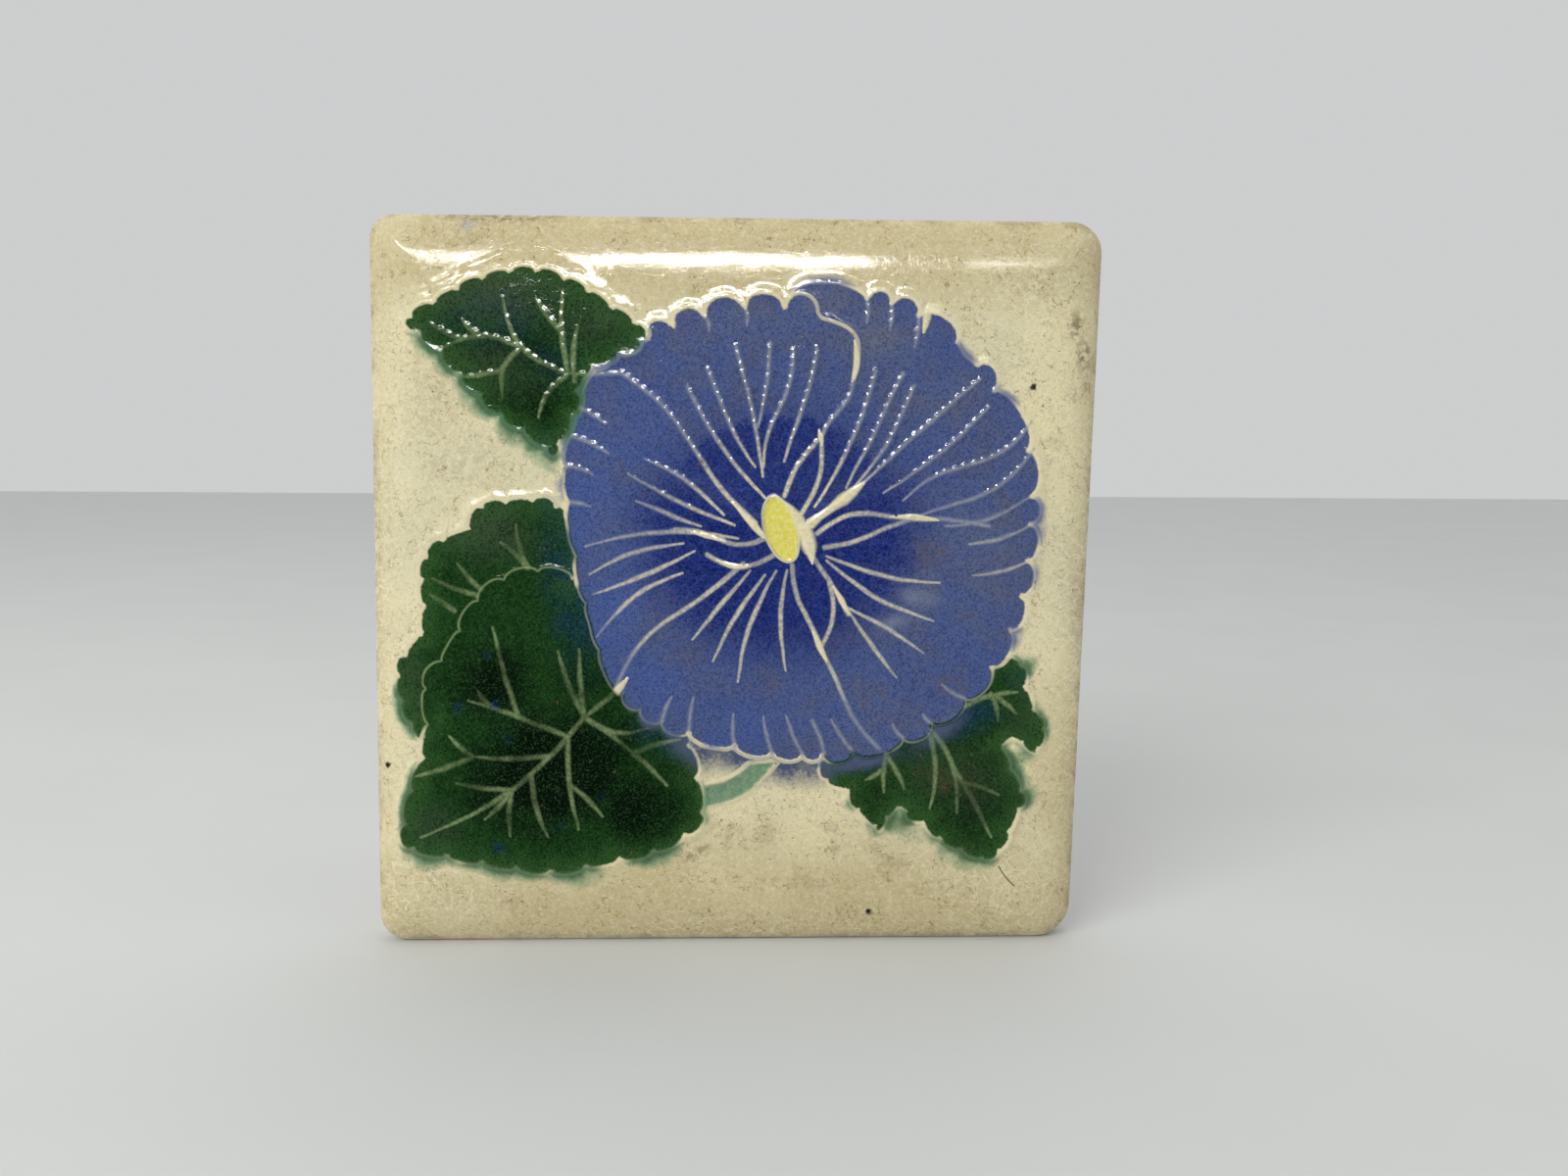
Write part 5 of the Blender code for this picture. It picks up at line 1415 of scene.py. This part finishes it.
def bareClay():
    # The unglazed body, left plain and a little gritty.
    material, board, shader = newMaterial("bareClay")
    place = board.millimetres()
    broad, patch = board.noise(place, 34.0, 3.0), board.noise(place, 5.0, 4.0, 0.65)
    grain = board.noise(place, 0.7, 3.0, 0.6)
    skin = board.mix(board.ramp(broad, 0.35, 0.65), biscuit["clay"], biscuit["shade"])
    skin = board.mix(board.ramp(patch, 0.45, 0.7, 0.0, 0.6), skin, biscuit["dust"])
    away, chance = board.scatter(place, biscuit["grogSpacing"])
    speck = board.times(board.ramp(away, 0.2, 0.08), board.ramp(chance, 0.3, 0.26))
    skin = board.mix(board.times(speck, 0.7), skin, biscuit["grog"])
    board.put(shader.inputs["Base Color"], skin)
    board.put(shader.inputs["Roughness"], board.ramp(grain, 0.2, 0.8, 0.75, 0.95))
    height = board.add(grain, board.times(patch, 1.5), board.times(speck, -0.8))
    board.put(shader.inputs["Normal"], board.bump(height, biscuit["bumpStrength"], biscuit["bumpDepth"]))
    return material


def pressedTile():
    lines, fills = draw()
    length = sum(pathLengths(line["points"])[-1] for line in lines)
    print("drawing:", len(lines), "raised lines,", round(length), "mm in all")
    points, faces, face, gap, bare = blankTile(lines, fills)
    beyond = {"rimGap": 1.8, "eyeReach": 90.0, "outerShare": 1.0}  # values on the sides and the back
    values = {}
    for name, numbers in faceValues(face, gap, fills).items():
        value = beyond.get(name, 20.0 if name.endswith("Gap") else 0.0)
        values[name] = np.r_[numbers, np.full(len(points) - len(face), value)]
    values["bare"] = bare
    blank = helperObject("blankTile", meshFrom("blankTile", points, faces, values))
    kinds = {"Outline Paths": "outline", "Vein Paths": "vein", "Knob Paths": "knob"}
    paths = {name: pathObject(kind, lines) for name, kind in kinds.items()}
    modifier = blank.modifiers.new("raisedDrawing", "NODES")
    modifier.node_group = raisedDrawingTree()
    given = {**relief, **paths, "Glaze": glazedClay(), "Bare Clay": bareClay()}
    for socket in modifier.node_group.interface.items_tree:
        if socket.in_out == "INPUT" and socket.name in given:
            modifier[socket.identifier] = given[socket.name]
    glazedTile = plainMesh(blank, "glazedTile")
    for helper in [blank] + list(paths.values()):
        bpy.data.objects.remove(helper)
    print("pressed tile:", len(glazedTile.data.vertices), "points")
    return glazedTile


glazedTile = pressedTile()
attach(glazedTile, "root")
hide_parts("tile")

floor = {  # lengths in metres
    "size": 6.0,
    "level": -76.6 * mm,
    "pale": colour(208, 210, 208),
    "shade": colour(206, 208, 206),
    "cloudSize": 0.09,
    "roughness": 0.75,
}


def paleFloor():
    half, level = floor["size"] / 2, floor["level"]
    corners = [(-half, -half, level), (half, -half, level), (half, half, level), (-half, half, level)]
    mesh = bpy.data.meshes.new("paleFloor")
    mesh.from_pydata(corners, [], [(0, 1, 2, 3)])
    material, board, shader = newMaterial("paleFloor")
    cloud = board.noise(board.node("ShaderNodeTexCoord").outputs["Object"], floor["cloudSize"], 4.0)
    tone = board.mix(board.ramp(cloud, 0.35, 0.65), floor["pale"], floor["shade"])
    board.put(shader.inputs["Base Color"], tone)
    shader.inputs["Roughness"].default_value = floor["roughness"]
    mesh.materials.append(material)
    made = helperObject("paleFloor", mesh)
    made.visible_glossy = False


paleFloor()

lights = {  # lengths in metres
    "distance": 1.5,
    "height": 26.0,  # degrees above the horizon
    "strips": (  # left to right: middle, length, depth, brightness and colour
        (-0.68, 0.24, 0.13, 60.0, "white"),
        (-0.374, 0.133, 0.14, 100.0, "white"),
        (-0.036, 0.43, 0.14, 100.0, "white"),
        (0.344, 0.038, 0.12, 50.0, "white"),
        (0.40, 0.025, 0.12, 25.0, "amber"),
    ),
    "white": (1.0, 0.99, 0.96),
    "amber": (1.0, 0.86, 0.6),
    "aim": (0.9, 0.02),  # share of a strip's own offset that it aims at, and the height
    "softPlace": (-0.75, -1.0, 0.75),
    "softSize": (0.9, 0.7),
    "softBrightness": 6.8,
    "softTint": (1.0, 0.99, 0.97),
    "skyTint": (0.985, 0.99, 1.0, 1.0),
    "sky": 0.95,
    "horizon": 0.62,
    "shade": 0.1,  # share of the soft light that comes from the viewer's side
}


def areaLight(name, place, size, bright, tint, aim):
    lamp = bpy.data.lights.new(name, "AREA")
    lamp.shape = "RECTANGLE"
    lamp.size, lamp.size_y = size
    lamp.energy = bright * size[0] * size[1] * math.pi
    lamp.color = tint
    made = helperObject(name, lamp)
    made.location = place
    made.rotation_euler = (Vector(aim) - Vector(place)).to_track_quat("-Z", "Y").to_euler()
    return made


def studioLights():
    # Narrow strips in front of the tile for its highlights, a soft lamp for its colours, and soft light all
    # round that is stronger from above and weak on the viewer's side, which the glaze mirrors.
    height, distance = math.radians(lights["height"]), lights["distance"]
    for number, (middle, length, depth, bright, tint) in enumerate(lights["strips"]):
        place = (middle, -distance * math.cos(height), distance * math.sin(height))
        aim = (middle * lights["aim"][0], 0.0, lights["aim"][1])
        strip = areaLight(f"strip{number}", place, (length, depth), bright, lights[tint], aim)
        strip.visible_diffuse = False
    soft = areaLight("softLamp", lights["softPlace"], lights["softSize"], lights["softBrightness"],
                     lights["softTint"], (0.0, 0.0, 0.0))
    soft.visible_glossy = False
    world = bpy.data.worlds.new("softLight")
    world.use_nodes = True
    bpy.context.scene.world = world
    board = Board(world.node_tree)
    way = board.node("ShaderNodeTexCoord").outputs["Generated"]
    _, y, z = board.node("ShaderNodeSeparateXYZ", way).outputs
    strength = board.ramp(z, 0.3, 0.95, lights["horizon"], lights["sky"])
    strength = board.times(strength, board.ramp(y, -0.85, -0.25, lights["shade"], 1.0))
    back = world.node_tree.nodes["Background"]
    back.inputs["Color"].default_value = lights["skyTint"]
    board.put(back.inputs["Strength"], strength)


studioLights()

camera = {
    "place": (0.0032, -0.2533, 0.0279),
    "forward": (0.0302, 0.9934, -0.1105),
    "right": (0.9995, -0.0297, 0.0062),
    "lens": 27.0,
    "sensor": 36.0,
}


def photoCamera():
    data = bpy.data.cameras.new("camera")
    data.lens, data.sensor_width = camera["lens"], camera["sensor"]
    data.clip_start = 0.01
    made = helperObject("camera", data)
    forward = Vector(camera["forward"]).normalized()
    right = (Vector(camera["right"]) - forward * forward.dot(Vector(camera["right"]))).normalized()
    up = right.cross(forward)
    turn = Matrix((right, up, -forward)).transposed()
    made.matrix_world = Matrix.Translation(Vector(camera["place"])) @ turn.to_4x4()
    bpy.context.scene.camera = made


photoCamera()
bpy.context.scene.view_settings.view_transform = "Standard"
